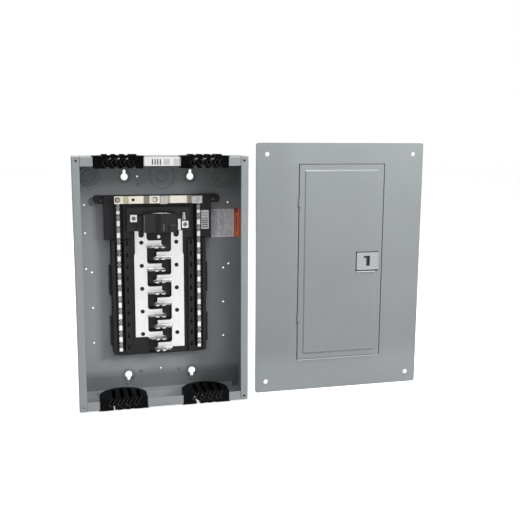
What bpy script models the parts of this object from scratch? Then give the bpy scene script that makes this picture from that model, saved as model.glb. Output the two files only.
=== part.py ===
"""Residential load center: enclosure, interior and, standing beside it, the cover with its door.

Metres, +Z up. The origin is the centre of the enclosure's back face, which goes against the
wall: +X runs to the right, +Y into the wall and -Y out of the front. The interior is set for
ten stabs, one inch apart, which serve a single-pole breaker on each side.
"""
import math

import bmesh
import bpy
from mathutils import Matrix, Vector

# Sheet metal and clearances
SHEET = 0.0015
FOLD_RADIUS = 0.002
GAP = 0.0003
CLEARANCE = 0.0004

# Enclosure
BOX_WIDTH = 0.362
BOX_HEIGHT = 0.5314
BOX_DEPTH = 0.0953
SIDE_FLANGE = 0.016
END_FLANGE = 0.0195
END_FLANGE_SETBACK = 0.0006
ENDWALL_RETURN = 0.012
ENDWALL_TAB_INSET = 0.008
COVER_HOLE_INSET_X = 0.0092
COVER_HOLE_INSET_Z = 0.0085
COVER_HOLE_RADIUS = 0.0026
KEYHOLE_X = 0.071
KEYHOLE_Z = 0.220
KEYHOLE_RADIUS = 0.0075
KEYHOLE_SLOT = 0.006
KEYHOLE_SLOT_REACH = {1: 0.0155, -1: 0.0130}
PIN_HOLE_RADIUS = 0.0019
GROUND_BAR_HOLES_X = 0.1445
GROUND_BAR_HOLES_Z = (0.0145, -0.064, -0.143)
WALL_HOLES = ((-0.1565, 0.161), (-0.1565, 0.1005), (-0.1565, 0.0225), (0.155, 0.162),
              (0.1565, 0.0235), (-0.0435, 0.2206), (0.0005, -0.2102))

# Knockouts: scored rings, each as its middle and radii
KNOCKOUT_LINE = 0.0012
KNOCKOUT_DEPTH = 0.0005
KNOCKOUT_SIDES = 20
BACK_KNOCKOUTS = (((-0.145, 0.221), (0.0205,)), ((0.010, 0.220), (0.0110, 0.0265)),
                  ((0.1425, 0.2156), (0.0205,)))
SIDE_KNOCKOUT_Y = -0.048
SIDE_KNOCKOUTS = ((0.212, (0.0141, 0.0218)), (0.158, (0.0111,)), (-0.158, (0.0111,)),
                  (-0.212, (0.0141, 0.0218)))
END_KNOCKOUT_RADIUS = 0.0141

# Cable grips in the end walls
GRIP_X = 0.0885
GRIP_HALF_WIDTH = 0.050
GRIP_DEPTH_AT_END = 0.033
GRIP_DEPTH_AT_MIDDLE = 0.073
GRIP_HEIGHT = 0.024
GRIP_PROUD = 0.0043
GRIP_LIP = 0.0025
GRIP_LIP_THICKNESS = 0.001
GRIP_BLOCK_X = (-0.0325, 0.0375)
GRIP_BLOCK_BACK = -0.0530
GRIP_CHANNEL = 0.0082
GRIP_CHANNEL_PITCH = 0.0174
GRIP_CHANNEL_FIRST = -0.0175
GRIP_CHANNELS = 4
GRIP_BLOCK_SETBACK = 0.010
GRIP_REAR_WALL = 0.005
GRIP_CUT_MARGIN = 0.004
# One channel, from the end wall inwards: depths below it of the lean's start and knee, then how
# far the knee and the inner end lie to the left; a closed channel starts further in
CHANNEL_LEAN_START = 0.0035
CHANNEL_KNEE = 0.0105
CHANNEL_KNEE_LEFT = 0.0105
CHANNEL_END_LEFT = 0.0015
CLOSED_CHANNEL_START = (0.002, 0.005)

# Interior: bus bars and stabs
INTERIOR_X = -0.0015
POLE_PITCH = 0.0254
STABS_PER_BAR = 5
FIRST_STAB_Z = 0.0793
BUS_FRONT = -0.0219
BUS_THICKNESS = 0.0025
BUS_INNER = 0.0262
BUS_OUTER = 0.0536
BUS_HOLE_X = 0.0378
BUS_HOLE_RADIUS = 0.0047
BUS_TOP_Z = 0.105
BUS_BELOW_LAST_STAB = 0.0065
FORK_HALF_WIDTH = 0.0060
FORK_DEPTH = 0.0150
GROOVE = 0.0008
GROOVE_INSET = 0.0045
RISER_X = (0.0395, 0.0455)
RISER_Z = (0.1075, 0.1310)
RISER_FRONT = -0.0400
TANG_X = 0.0535
TANG_Y = -0.0245
TANG_Z = (0.1290, 0.1445)
TANG_RADIUS = 0.0032
TANG_TOP_RADIUS = 0.0020
STAB_REACH = 0.0052
STAB_HALF_HEIGHT = 0.004
STAB_BEND = 0.004
STAB_DROP = STAB_HALF_HEIGHT + STAB_BEND + BUS_THICKNESS
BLADE_FRONT = -0.040
BLADE_REACH = 0.0135
BLADE_VALLEY = 0.010
PRONG_OUTER = 0.0095
PRONG_INNER = 0.0040
LONG_PRONG_OUTER = 0.0130
LONG_PRONG_SLOPE = ((0.0240, -0.0300), (0.0200, -0.0360))
LONG_PRONG_SHOULDER = 0.0150
ARM_FILLET = 0.004
ARM_RELIEF = 0.006
BUS_STEP = 0.002
BUS_STEP_Z = (0.051, 0.056)
BUS_NECK = 0.006

# Interior: plastic bases
BASE_BACK = -0.0018
BASE_FRONT = -0.0191
BASE_WALL = 0.003
BASE_RIM = 0.004
BASE_BOTTOM_RADIUS = 0.012
STAB_BASE_HALF_WIDTH = 0.1035
STAB_BASE_BOTTOM = -0.170
STAB_BASE_HOLLOWS_X = ((-0.098, -0.056), (-0.050, -0.002), (0.002, 0.050), (0.056, 0.098))
STAB_BASE_FLOOR = 0.0095
STAB_POCKET_DEPTH = 0.0065
STAB_POCKET_RADIUS = 0.0035
STAB_POCKET_ABOVE = 0.0065
STAB_POCKET_BELOW = 0.0135
STAB_POCKET_LEAST = 0.008
STAB_POCKET_SIDE = 0.0008
BASE_JOINT_Z = 0.0862
LUG_BASE_HALF_WIDTH = 0.1155
LUG_BASE_TOP = 0.1815
LUG_BASE_HOLLOWS_X = ((-0.111, -0.058), (-0.053, -0.006), (0.006, 0.053), (0.058, 0.111))
EAR_HALF_WIDTH = 0.136
EAR_RADIUS = 0.007
EAR_BOTTOM = 0.1635
EAR_THICKNESS = 0.010
EAR_SCREW_X = 0.1205
EAR_SCREW_Z = 0.171
RAIL_HEIGHT = 0.008
HOOK_RAIL_X = (0.0625, 0.0755)
OUTER_RAIL_X = (0.0945, 0.1015)
HOOK_SLOT = 0.005
HOOK_SLOT_HALF_WIDTH = 0.0022
HOOK_SLOT_FLOOR = 0.002
SIDE_TAB = 0.004
SIDE_TAB_DEPTH = 0.0125
SIDE_TABS_Z = ((-0.148, -0.084), (-0.035, 0.030))
POST_RADIUS = 0.0035

# Interior: lug barrier
BARRIER_HALF_WIDTH = 0.036
BARRIER_Z = (0.1032, 0.1445)
BARRIER_FRONT = -0.044
BARRIER_SHOULDER_HALF_WIDTH = 0.0465
BARRIER_SHOULDER_FRONT = -0.032
BARRIER_PANEL_HALF_WIDTH = 0.068
BARRIER_PANEL_Z = (0.1045, 0.156)
BARRIER_WALL = 0.0025
BARRIER_CROWN_RADIUS = 0.330
BARRIER_SHOULDER_Z = (0.004, 0.006)
BARRIER_TOP = 0.008
BARRIER_FLUTE = (0.0155, 0.0045, 0.0065, 0.0145)

# Interior: lugs, neutral and screws
LUG_X = 0.0548
MAIN_LUG_SIZE = (0.0140, 0.020, 0.0148)
MAIN_LUG_BORE_RADIUS = 0.0048
NEUTRAL_LUG_X = 0.080
NEUTRAL_LUG_SIZE = (0.023, 0.0145, 0.0156)
NEUTRAL_LUG_BORE_RADIUS = 0.0038
LEFT_LUG_Z = 0.1342
RIGHT_LUG_Z = 0.1194
LUG_BORE_WALL = 0.0025
LUG_SCREW_RADIUS = 0.0042
LUG_SCREW_SUNK = 0.0014
LUG_SOCKET_RADIUS = 0.0024
NEUTRAL_X = 0.0862
NEUTRAL_WIDTH = 0.0082
NEUTRAL_HEIGHT = 0.009
NEUTRAL_Z = (-0.158, 0.1795)
TERMINAL_PAIRS = 12
TERMINAL_SPACING = 0.0076
FIRST_TERMINAL_PAIR_Z = 0.1353
TERMINAL_BORE_RADIUS = 0.0023
STRAP_HALF_WIDTH = 0.0937
STRAP_MIDDLE_Z = 0.1727
STRAP_HEIGHT = 0.016
STRAP_THICKNESS = 0.0025
STRAP_BACK = BASE_FRONT - 2 * GAP - NEUTRAL_HEIGHT
STRAP_BLOCK_HALF_WIDTH = 0.076
STRAP_STEP_X = (0.003, 0.0185)
STRAP_STEP = 0.0015
STRAP_SUPPORT_HALF_HEIGHT = 0.006
BONDING_SCREW_X = -0.0091
STRAP_HOLE_X = -0.054
STRAP_HOLE_RADIUS = 0.0032
BONDING_SHANK_RADIUS = 0.0022
BONDING_HOLE_RADIUS = 0.0028
BONDING_HEAD_RADIUS = 0.0046
BONDING_HEAD_HEIGHT = 0.0028
MIDDLE_SCREW_Z = 0.0915
PAN_HEAD_RADIUS = 0.0042
PAN_HEAD_HEIGHT = 0.0026
PAN_SHANK_RADIUS = 0.0018
PAN_HOLE_RADIUS = 0.0023
SCREW_SLOT_HALF = 0.0006

# Labels, as spans of X and Z
LABEL_THICKNESS = 0.0002
ENDWALL_LABEL_X = (-0.0365, 0.0345)
ENDWALL_LABEL_BELOW_TOP = (0.0188, 0.0008)
INTERIOR_LABEL_X = (0.0910, 0.1090)
INTERIOR_LABEL_Z = (0.106, 0.147)
WIRING_LABEL_X = (0.1163, 0.1693)
WIRING_LABEL_Z = (0.0845, 0.1472)
CAUTION_LABEL_Z = (0.0845, 0.1484)
CAUTION_LABEL_FRONT = -0.0200
CAUTION_LABEL_LEFT = 0.1696
CAUTION_LABEL_RADIUS = 0.0012

# Cover, standing to the right of the enclosure on the same level
COVER_X = 0.4054
COVER_Z = 0.0119
COVER_FRONT = -0.0483
COVER_WIDTH = 0.392
COVER_HEIGHT = 0.5636
COVER_CORNER = 0.005
COVER_LIP = 0.006
COVER_SCREW_X = BOX_WIDTH / 2 - COVER_HOLE_INSET_X
COVER_SCREW_Z = BOX_HEIGHT / 2 - COVER_HOLE_INSET_Z
COVER_SCREW_RADIUS = 0.0051
DOOR_LEFT = -0.0976
DOOR_RIGHT = 0.1017
DOOR_BOTTOM = -0.209
DOOR_TOP = 0.2344
DOOR_GAP = 0.0012
DOOR_CORNER = 0.002
DOOR_BORDER = 0.012
DOOR_EMBOSS = 0.002
DOOR_BEVEL = 0.0024
DOOR_LIP = 0.006

# Deadfront pan behind the door
PAN_MARGIN = 0.001
PAN_RIM = 0.008
PAN_DEPTH = 0.0125
PAN_SHEET = 0.0012
TWISTOUT_INNER = 0.007
TWISTOUT_OUTER = 0.050
TWISTOUT_HEIGHT = 0.022
TWISTOUT_SLOT = 0.0010
TWISTOUT_TAB = 0.003

# Hinges and latch
HINGE_X = DOOR_LEFT - 0.0006
HINGE_Y = COVER_FRONT - 0.0006
HINGE_ZS = {"upper": 0.150, "lower": -0.112}
KNUCKLE_RADIUS = 0.0026
DOOR_KNUCKLE = 0.010
TRIM_KNUCKLE = 0.004
PIN_RADIUS = 0.0011
PIN_BORE_RADIUS = 0.0015
LATCH_X = (0.0397, 0.0942)
LATCH_Z = (-0.0074, 0.0351)
LATCH_WINDOW_HEAD = (0.0162, 0.0062)
LATCH_WINDOW_STEM = (0.0096, 0.0182)
LATCH_STEM_OFFSET = 0.0029
LATCH_GAP = 0.0010
LATCH_CORNER = 0.002
LATCH_BODY_DEPTH = 0.0085
LATCH_BEZEL = 0.0012
LATCH_WALL = 0.003
LATCH_TRAVEL = 0.006

# Directory card on the inside of the door
CARD_X = (-0.078, 0.072)
CARD_Z = (0.046, 0.216)
CARD_THICKNESS = 0.0003

MATERIALS = {
    "enamel": ((0.40, 0.42, 0.43), 0.45, 0.0),
    "tinned_bus": ((0.82, 0.81, 0.79), 0.32, 1.0),
    "neutral_metal": ((0.72, 0.72, 0.71), 0.35, 1.0),
    "strap_metal": ((0.80, 0.77, 0.66), 0.40, 1.0),
    "black_plastic": ((0.025, 0.025, 0.028), 0.45, 0.0),
    "latch_plastic": ((0.46, 0.46, 0.47), 0.50, 0.0),
    "screw_steel": ((0.62, 0.62, 0.60), 0.35, 1.0),
    "white_label": ((0.80, 0.80, 0.80), 0.60, 0.0),
    "orange_label": ((0.62, 0.16, 0.07), 0.55, 0.0),
    "card": ((0.78, 0.77, 0.72), 0.80, 0.0),
}


# ---- Scene, materials and objects ----

def clear_scene():
    for item in list(bpy.data.objects):
        bpy.data.objects.remove(item)


def make_collection(name):
    collection = bpy.data.collections.new(name)
    bpy.context.scene.collection.children.link(collection)
    return collection


def make_material(name):
    colour, roughness, metallic = MATERIALS[name]
    material = bpy.data.materials.new(name)
    material.use_nodes = True
    shader = material.node_tree.nodes["Principled BSDF"]
    shader.inputs["Base Color"].default_value = (*colour, 1.0)
    shader.inputs["Roughness"].default_value = roughness
    shader.inputs["Metallic"].default_value = metallic
    return material


def add_part(name, mesh, material):
    """A named sub-part in the parts collection."""
    part = bpy.data.objects.new(name, mesh)
    mesh.materials.append(materials[material])
    parts.objects.link(part)
    return part


def add_cutter(target, mesh, operation):
    """A hidden operand, joined to or cut from the target by a Boolean modifier."""
    cutter = bpy.data.objects.new(f"{target.name}_{operation.lower()}", mesh)
    cutter.hide_render = True
    cutter.display_type = 'WIRE'
    cutters.objects.link(cutter)
    modifier = target.modifiers.new(operation.title(), 'BOOLEAN')
    modifier.operation = operation
    modifier.solver = 'EXACT'
    modifier.object = cutter
    return cutter


def cut(target, *meshes):
    for mesh in meshes:
        add_cutter(target, mesh, 'DIFFERENCE')


def fuse(target, *meshes):
    for mesh in meshes:
        add_cutter(target, mesh, 'UNION')


def put_origin(part, point):
    """Moves a part's origin onto a joint's axis without moving its shape."""
    part.data.transform(Matrix.Translation(-Vector(point)))
    part.location = point


# ---- Solids ----

def box(low, high):
    shape = bmesh.new()
    bmesh.ops.create_cube(shape, size=1.0)
    bmesh.ops.scale(shape, vec=Vector(high) - Vector(low), verts=shape.verts)
    bmesh.ops.translate(shape, vec=(Vector(high) + Vector(low)) / 2, verts=shape.verts)
    return mesh_from(shape)


def rod(start, end, radius, sides=16, end_radius=None):
    """A cylinder, or a cone when end_radius is given, from start to end."""
    start = Vector(start)
    end = Vector(end)
    along = end - start
    turn = Vector((0, 0, 1)).rotation_difference(along).to_matrix().to_4x4()
    shape = bmesh.new()
    bmesh.ops.create_cone(shape, cap_ends=True, segments=sides, radius1=radius,
                          radius2=radius if end_radius is None else end_radius, depth=along.length)
    bmesh.ops.transform(shape, matrix=Matrix.Translation((start + end) / 2) @ turn, verts=shape.verts)
    return mesh_from(shape)


def loft(rings):
    """Solid through a list of rings, each a closed list of points, with flat ends."""
    shape = bmesh.new()
    rows = [[shape.verts.new(point) for point in ring] for ring in rings]
    for low, high in zip(rows, rows[1:]):
        for index in range(len(low)):
            following = (index + 1) % len(low)
            shape.faces.new((low[index], low[following], high[following], high[index]))
    shape.faces.new(rows[0])
    shape.faces.new(rows[-1])
    bmesh.ops.recalc_face_normals(shape, faces=shape.faces)
    return mesh_from(shape)


def mesh_from(shape):
    mesh = bpy.data.meshes.new("solid")
    shape.to_mesh(mesh)
    shape.free()
    return mesh


def together(meshes):
    """Several separate solids as one mesh, for use as one cutter."""
    shape = bmesh.new()
    for mesh in meshes:
        shape.from_mesh(mesh)
        bpy.data.meshes.remove(mesh)
    return mesh_from(shape)


# Where an outline's first and second coordinates and its thickness point
AXES = {
    'X': Matrix(((0, 0, 1, 0), (1, 0, 0, 0), (0, 1, 0, 0), (0, 0, 0, 1))),
    'Y': Matrix(((1, 0, 0, 0), (0, 0, -1, 0), (0, 1, 0, 0), (0, 0, 0, 1))),
    'Z': Matrix.Identity(4),
}


def plate(outlines, low, high, axis):
    """A flat plate between low and high on the axis.

    The outlines hold (y, z), (x, z) or (x, y) pairs for axis X, Y or Z. An outline inside
    another is a hole in it.
    """
    curve = bpy.data.curves.new("outline", 'CURVE')
    curve.dimensions = '2D'
    curve.fill_mode = 'BOTH'
    curve.extrude = (high - low) / 2
    for outline in outlines:
        spline = curve.splines.new('POLY')
        spline.points.add(len(outline) - 1)
        for point, (across, up) in zip(spline.points, outline):
            point.co = (across, up, 0, 1)
        spline.use_cyclic_u = True
    guide = bpy.data.objects.new("outline", curve)
    bpy.context.scene.collection.objects.link(guide)
    evaluated = guide.evaluated_get(bpy.context.evaluated_depsgraph_get())
    shape = bmesh.new()
    shape.from_mesh(bpy.data.meshes.new_from_object(evaluated))
    bpy.data.objects.remove(guide)
    bmesh.ops.remove_doubles(shape, verts=shape.verts, dist=1e-6)
    middle = (low + high) / 2 * (-1 if axis == 'Y' else 1)
    bmesh.ops.translate(shape, vec=(0, 0, middle), verts=shape.verts)
    bmesh.ops.transform(shape, matrix=AXES[axis], verts=shape.verts)
    bmesh.ops.recalc_face_normals(shape, faces=shape.faces)
    return mesh_from(shape)


# ---- Outlines ----

def arc(centre, radius, start, end, steps):
    """Points on an arc, angles in degrees."""
    angles = [math.radians(start + (end - start) * step / steps) for step in range(steps + 1)]
    return [(centre[0] + radius * math.cos(a), centre[1] + radius * math.sin(a)) for a in angles]


def circle(centre, radius, sides=12):
    return arc(centre, radius, 0, 360, sides)[:-1]


def rectangle(left, bottom, right, top):
    return [(left, bottom), (right, bottom), (right, top), (left, top)]


def rounded_rectangle(left, bottom, right, top, radius, steps=3):
    return (arc((right - radius, bottom + radius), radius, -90, 0, steps)
            + arc((right - radius, top - radius), radius, 0, 90, steps)
            + arc((left + radius, top - radius), radius, 90, 180, steps)
            + arc((left + radius, bottom + radius), radius, 180, 270, steps))


def folded_outline(path, thickness, radius=FOLD_RADIUS, steps=2):
    """Cross-section of a sheet folded at right angles, from the path of its outer face."""
    points = [Vector(point) for point in path]
    turn = (points[2] - points[1]).normalized()
    outer = [points[0]]
    inner = [points[0] + turn * thickness]
    for before, corner, after in zip(points, points[1:], points[2:]):
        arriving = (corner - before).normalized()
        leaving = (after - corner).normalized()
        centre = corner + (leaving - arriving) * radius
        for step in range(steps + 1):
            angle = math.radians(90 * step / steps)
            reach = arriving * math.sin(angle) - leaving * math.cos(angle)
            outer.append(centre + reach * radius)
            inner.append(centre + reach * (radius - thickness))
    previous = (points[-2] - points[-3]).normalized()
    outer.append(points[-1])
    inner.append(points[-1] - previous * thickness)
    return [tuple(point) for point in outer + inner[::-1]]


def keyhole(x, z, up):
    """Round hole with a slot above it (up = 1) or below it (up = -1)."""
    half_slot = KEYHOLE_SLOT / 2
    lean = math.degrees(math.asin(half_slot / KEYHOLE_RADIUS))
    body = arc((x, z), KEYHOLE_RADIUS, 90 + lean, 450 - lean, 14)
    tip = arc((x, z + KEYHOLE_SLOT_REACH[up] - half_slot), half_slot, 0, 180, 4)
    points = body + tip
    return [(across, z + up * (height - z)) for across, height in points]


# ---- Enclosure ----

def make_box_shell():
    half_width = BOX_WIDTH / 2
    half_height = BOX_HEIGHT / 2
    flange_edge = half_width - SIDE_FLANGE
    path = [(-flange_edge, -BOX_DEPTH), (-half_width, -BOX_DEPTH), (-half_width, 0),
            (half_width, 0), (half_width, -BOX_DEPTH), (flange_edge, -BOX_DEPTH)]
    mesh = plate([folded_outline(path, SHEET)], -half_height, half_height, 'Z')
    shell = add_part("box_shell", mesh, "enamel")
    wall_holes = [circle(place, PIN_HOLE_RADIUS, 8) for place in WALL_HOLES]
    wall_holes += [circle((side * GROUND_BAR_HOLES_X, z), PIN_HOLE_RADIUS, 8)
                   for side in (-1, 1) for z in GROUND_BAR_HOLES_Z]
    wall_holes += [keyhole(side * KEYHOLE_X, end * KEYHOLE_Z, end) for side in (-1, 1) for end in (-1, 1)]
    cut(shell, plate(wall_holes, -2 * SHEET, SHEET, 'Y'))
    cover_holes = [circle((side * COVER_SCREW_X, end * COVER_SCREW_Z), COVER_HOLE_RADIUS)
                   for side in (-1, 1) for end in (-1, 1)]
    cut(shell, plate(cover_holes, -BOX_DEPTH - SHEET, -BOX_DEPTH + 2 * SHEET, 'Y'))
    for (x, z), radii in BACK_KNOCKOUTS:
        score(shell, (x, z), radii, (-SHEET, 0), 'Y')
    for side in (-1, 1):
        sheet = sorted((side * half_width, side * (half_width - SHEET)))
        for z, radii in SIDE_KNOCKOUTS:
            score(shell, (SIDE_KNOCKOUT_Y, z), radii, sheet, 'X')


def score(part, middle, radii, sheet, axis):
    """Cuts the rings of a knockout into both faces of a sheet."""
    low, high = sheet
    for radius in radii:
        ring = [circle(middle, radius + grow, KNOCKOUT_SIDES)
                for grow in (KNOCKOUT_LINE / 2, -KNOCKOUT_LINE / 2)]
        cut(part, plate(ring, low - SHEET, low + KNOCKOUT_DEPTH, axis),
            plate(ring, high - KNOCKOUT_DEPTH, high + SHEET, axis))


def grip_circle():
    """Radius and middle depth of the arc behind a grip."""
    rise = GRIP_DEPTH_AT_MIDDLE - GRIP_DEPTH_AT_END
    radius = (GRIP_HALF_WIDTH ** 2 + rise ** 2) / (2 * rise)
    return radius, -BOX_DEPTH + GRIP_DEPTH_AT_MIDDLE - radius


def grip_outline(margin):
    """Plan of a cable grip about its middle, grown by the margin: straight front, arched rear."""
    half = GRIP_HALF_WIDTH + margin
    radius, middle = grip_circle()
    swing = math.degrees(math.asin(min(1, GRIP_HALF_WIDTH / radius)))
    arch = arc((0, middle), radius + margin, 90 - swing, 90 + swing, 10)
    front = -BOX_DEPTH - margin
    return [(half, front), (half, arch[0][1])] + arch[1:-1] + [(-half, arch[-1][1]), (-half, front)]


def shifted(outline, across):
    return [(x + across, y) for x, y in outline]


def make_endwall(name, end):
    """Top (end = 1) or bottom (end = -1) wall, welded inside the shell, cut out for two grips."""
    outer = end * BOX_HEIGHT / 2
    inner = end * (BOX_HEIGHT / 2 - SHEET)
    middle_half = BOX_WIDTH / 2 - SIDE_FLANGE - 2 * GAP
    wing_half = BOX_WIDTH / 2 - SHEET - GAP
    front = -BOX_DEPTH + END_FLANGE_SETBACK
    wing_front = -BOX_DEPTH + SHEET + GAP
    back = -SHEET - GAP
    profile = folded_outline([(front, end * (BOX_HEIGHT / 2 - END_FLANGE)), (front, outer),
                              (back, outer), (back, end * (BOX_HEIGHT / 2 - ENDWALL_RETURN))], SHEET)
    wall = add_part(name, plate([profile], -middle_half, middle_half, 'X'), "enamel")
    low, high = sorted((inner, outer))
    fuse(wall, plate([rectangle(-wing_half, wing_front, wing_half, back - FOLD_RADIUS)], low, high, 'Z'))
    tab_low, tab_high = sorted((end * (BOX_HEIGHT / 2 - ENDWALL_RETURN), end * (BOX_HEIGHT / 2 - SHEET / 2)))
    for side in (-1, 1):
        left, right = sorted((side * wing_half, side * (wing_half - SHEET)))
        fuse(wall, box((left, wing_front + ENDWALL_TAB_INSET, tab_low),
                       (right, back - ENDWALL_TAB_INSET, tab_high)))
    low, high = sorted((end * (BOX_HEIGHT / 2 - GRIP_HEIGHT - GRIP_CUT_MARGIN),
                        end * (BOX_HEIGHT / 2 + GRIP_CUT_MARGIN)))
    cut(wall, plate([shifted(grip_outline(CLEARANCE), side * GRIP_X) for side in (-1, 1)], low, high, 'Z'))
    score(wall, (0, SIDE_KNOCKOUT_Y), (END_KNOCKOUT_RADIUS,), sorted((inner, outer)), 'Z')


def chevron(x, end, closed):
    """Outline in X and Z of one cable channel: it leans to the left, then back to the right."""
    outer = BOX_HEIGHT / 2
    half = GRIP_CHANNEL / 2
    start = [(x, outer + GRIP_PROUD + SHEET), (x, outer - CHANNEL_LEAN_START)]
    if closed:
        left, depth = CLOSED_CHANNEL_START
        start = [(x - left, outer - depth)]
    line = start + [(x - CHANNEL_KNEE_LEFT, outer - CHANNEL_KNEE),
                    (x - CHANNEL_END_LEFT, outer - GRIP_HEIGHT - SHEET)]
    right = [(across + half, end * up) for across, up in line]
    left = [(across - half, end * up) for across, up in line]
    return right + left[::-1]


def make_cable_grip(name, side, end):
    """Moulded strip with leaning channels that hold cables where they pass the end wall."""
    x = side * GRIP_X
    outer = BOX_HEIGHT / 2
    body_low, body_high = sorted((end * (outer - GRIP_HEIGHT), end * (outer + GAP)))
    body = plate([shifted(grip_outline(0), x)], body_low, body_high, 'Z')
    grip = add_part(name, body, "black_plastic")
    lip_low, lip_high = sorted((end * (outer + GAP), end * (outer + GAP + GRIP_LIP_THICKNESS)))
    lip = grip_outline(GRIP_LIP)
    front = -BOX_DEPTH
    lip = [(across, max(depth, front)) for across, depth in lip]
    fuse(grip, plate([shifted(lip, x)], lip_low, lip_high, 'Z'))
    low, high = sorted((end * (outer - SHEET), end * (outer + GRIP_PROUD)))
    block_front = -BOX_DEPTH + GRIP_BLOCK_SETBACK
    fuse(grip, box((x + GRIP_BLOCK_X[0], block_front, low), (x + GRIP_BLOCK_X[1], GRIP_BLOCK_BACK, high)))
    radius, middle = grip_circle()
    for count in range(GRIP_CHANNELS):
        across = GRIP_CHANNEL_FIRST + GRIP_CHANNEL_PITCH * count
        lean = CHANNEL_KNEE_LEFT / 2
        arch = middle + math.sqrt(radius ** 2 - (abs(across - lean) + lean + GRIP_CHANNEL / 2) ** 2)
        channel = chevron(x + across, end, count == GRIP_CHANNELS - 1)
        cut(grip, plate([channel], -BOX_DEPTH - SHEET, arch - GRIP_REAR_WALL, 'Y'))


# ---- Plastic bases ----

def make_stab_base():
    """Lower base: carries the bus bars, with hooked rails for the breakers down each side."""
    half = STAB_BASE_HALF_WIDTH
    top = BASE_JOINT_Z - GAP
    turn = BASE_BOTTOM_RADIUS
    outline = (arc((half - turn, STAB_BASE_BOTTOM + turn), turn, -90, 0, 3) + [(half, top), (-half, top)]
               + arc((-half + turn, STAB_BASE_BOTTOM + turn), turn, 180, 270, 3))
    base = add_part("stab_base", plate([shifted(outline, INTERIOR_X)], BASE_FRONT, BASE_BACK, 'Y'),
                    "black_plastic")
    tabs = [box((INTERIOR_X - half - SIDE_TAB, BASE_BACK - SIDE_TAB_DEPTH, low),
                (INTERIOR_X + half + SIDE_TAB, BASE_BACK, high)) for low, high in SIDE_TABS_Z]
    fuse(base, *tabs)
    low_z = STAB_BASE_BOTTOM + BASE_RIM
    rails = []
    for side in (-1, 1):
        for near, far in (HOOK_RAIL_X, OUTER_RAIL_X):
            left, right = sorted((INTERIOR_X + side * near, INTERIOR_X + side * far))
            rails.append(box((left, BASE_FRONT - RAIL_HEIGHT, low_z), (right, BASE_FRONT + 0.001, top)))
    fuse(base, together(rails))
    posts = []
    for row in range(STABS_PER_BAR):
        z = FIRST_STAB_Z - 2 * POLE_PITCH * row
        for side in (-1, 1):
            x = INTERIOR_X + side * BUS_HOLE_X
            posts.append(rod((x, BASE_FRONT + 0.001, z), (x, BUS_FRONT - 0.0004, z), POST_RADIUS, 12))
    fuse(base, together(posts))
    hollows = [box((INTERIOR_X + near, BASE_FRONT + STAB_BASE_FLOOR, low_z),
                   (INTERIOR_X + far, BASE_BACK + SHEET, top - BASE_RIM))
               for near, far in STAB_BASE_HOLLOWS_X]
    cut(base, together(hollows))
    pockets = []
    slots = []
    for pole in range(2 * STABS_PER_BAR):
        side = -1 if pole % 2 == 0 else 1
        z = FIRST_STAB_Z - POLE_PITCH * pole
        span = pocket_span(side, z, BUS_INNER - SHEET)
        if span[3] - span[1] > STAB_POCKET_LEAST:
            pocket = rounded_rectangle(*span, STAB_POCKET_RADIUS)
            pockets.append(plate([pocket], BASE_FRONT - SHEET, BASE_FRONT + STAB_POCKET_DEPTH, 'Y'))
        for rail_side in (-1, 1):
            middle = INTERIOR_X + rail_side * sum(HOOK_RAIL_X) / 2
            half = HOOK_SLOT_HALF_WIDTH
            slots.append(box((middle - half, BASE_FRONT - RAIL_HEIGHT - SHEET, z - HOOK_SLOT),
                             (middle + half, BASE_FRONT - HOOK_SLOT_FLOOR, z + HOOK_SLOT)))
    cut(base, together(pockets), together(slots))


def pocket_span(side, z, reach):
    """Left, bottom, right and top of the pocket between one bar's stab and its next one."""
    low = max(z - 2 * POLE_PITCH + STAB_POCKET_ABOVE, STAB_BASE_BOTTOM + BASE_RIM)
    high = z - STAB_POCKET_BELOW
    left, right = sorted((INTERIOR_X + side * STAB_POCKET_SIDE, INTERIOR_X + side * reach))
    return left, low, right, high


def make_lug_base():
    """Upper base: carries the lugs and the neutral strap, with an ear each side for a screw."""
    half = LUG_BASE_HALF_WIDTH
    outline = rectangle(INTERIOR_X - half, BASE_JOINT_Z, INTERIOR_X + half, LUG_BASE_TOP)
    base = add_part("lug_base", plate([outline], BASE_FRONT, BASE_BACK, 'Y'), "black_plastic")
    ear = rounded_rectangle(INTERIOR_X - EAR_HALF_WIDTH, EAR_BOTTOM, INTERIOR_X + EAR_HALF_WIDTH,
                            LUG_BASE_TOP, EAR_RADIUS)
    fuse(base, plate([ear], BASE_BACK - EAR_THICKNESS, BASE_BACK, 'Y'))
    hollows = [box((INTERIOR_X + near, BASE_FRONT + BASE_WALL, BASE_JOINT_Z + BASE_RIM),
                   (INTERIOR_X + far, BASE_BACK + SHEET, EAR_BOTTOM - BASE_WALL))
               for near, far in LUG_BASE_HOLLOWS_X]
    cut(base, together(hollows))
    screw_holes = [circle((INTERIOR_X + side * EAR_SCREW_X, EAR_SCREW_Z), PAN_HOLE_RADIUS, 8)
                   for side in (-1, 1)]
    cut(base, plate(screw_holes, BASE_FRONT, -BASE_BACK, 'Y'))
    low = STRAP_MIDDLE_Z - STRAP_SUPPORT_HALF_HEIGHT
    high = STRAP_MIDDLE_Z + STRAP_SUPPORT_HALF_HEIGHT
    strap_support = box((INTERIOR_X - STRAP_BLOCK_HALF_WIDTH, STRAP_BACK + GAP, low),
                        (INTERIOR_X + STRAP_BLOCK_HALF_WIDTH, BASE_FRONT + 0.001, high))
    fuse(base, strap_support)
    bonding = [(INTERIOR_X + BONDING_SCREW_X, depth, STRAP_MIDDLE_Z) for depth in (STRAP_BACK, -BASE_BACK)]
    middle = [(INTERIOR_X, depth, MIDDLE_SCREW_Z) for depth in (BASE_FRONT - SHEET, -BASE_BACK)]
    cut(base, rod(*bonding, BONDING_HOLE_RADIUS, 12), rod(*middle, PAN_HOLE_RADIUS, 12))


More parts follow.
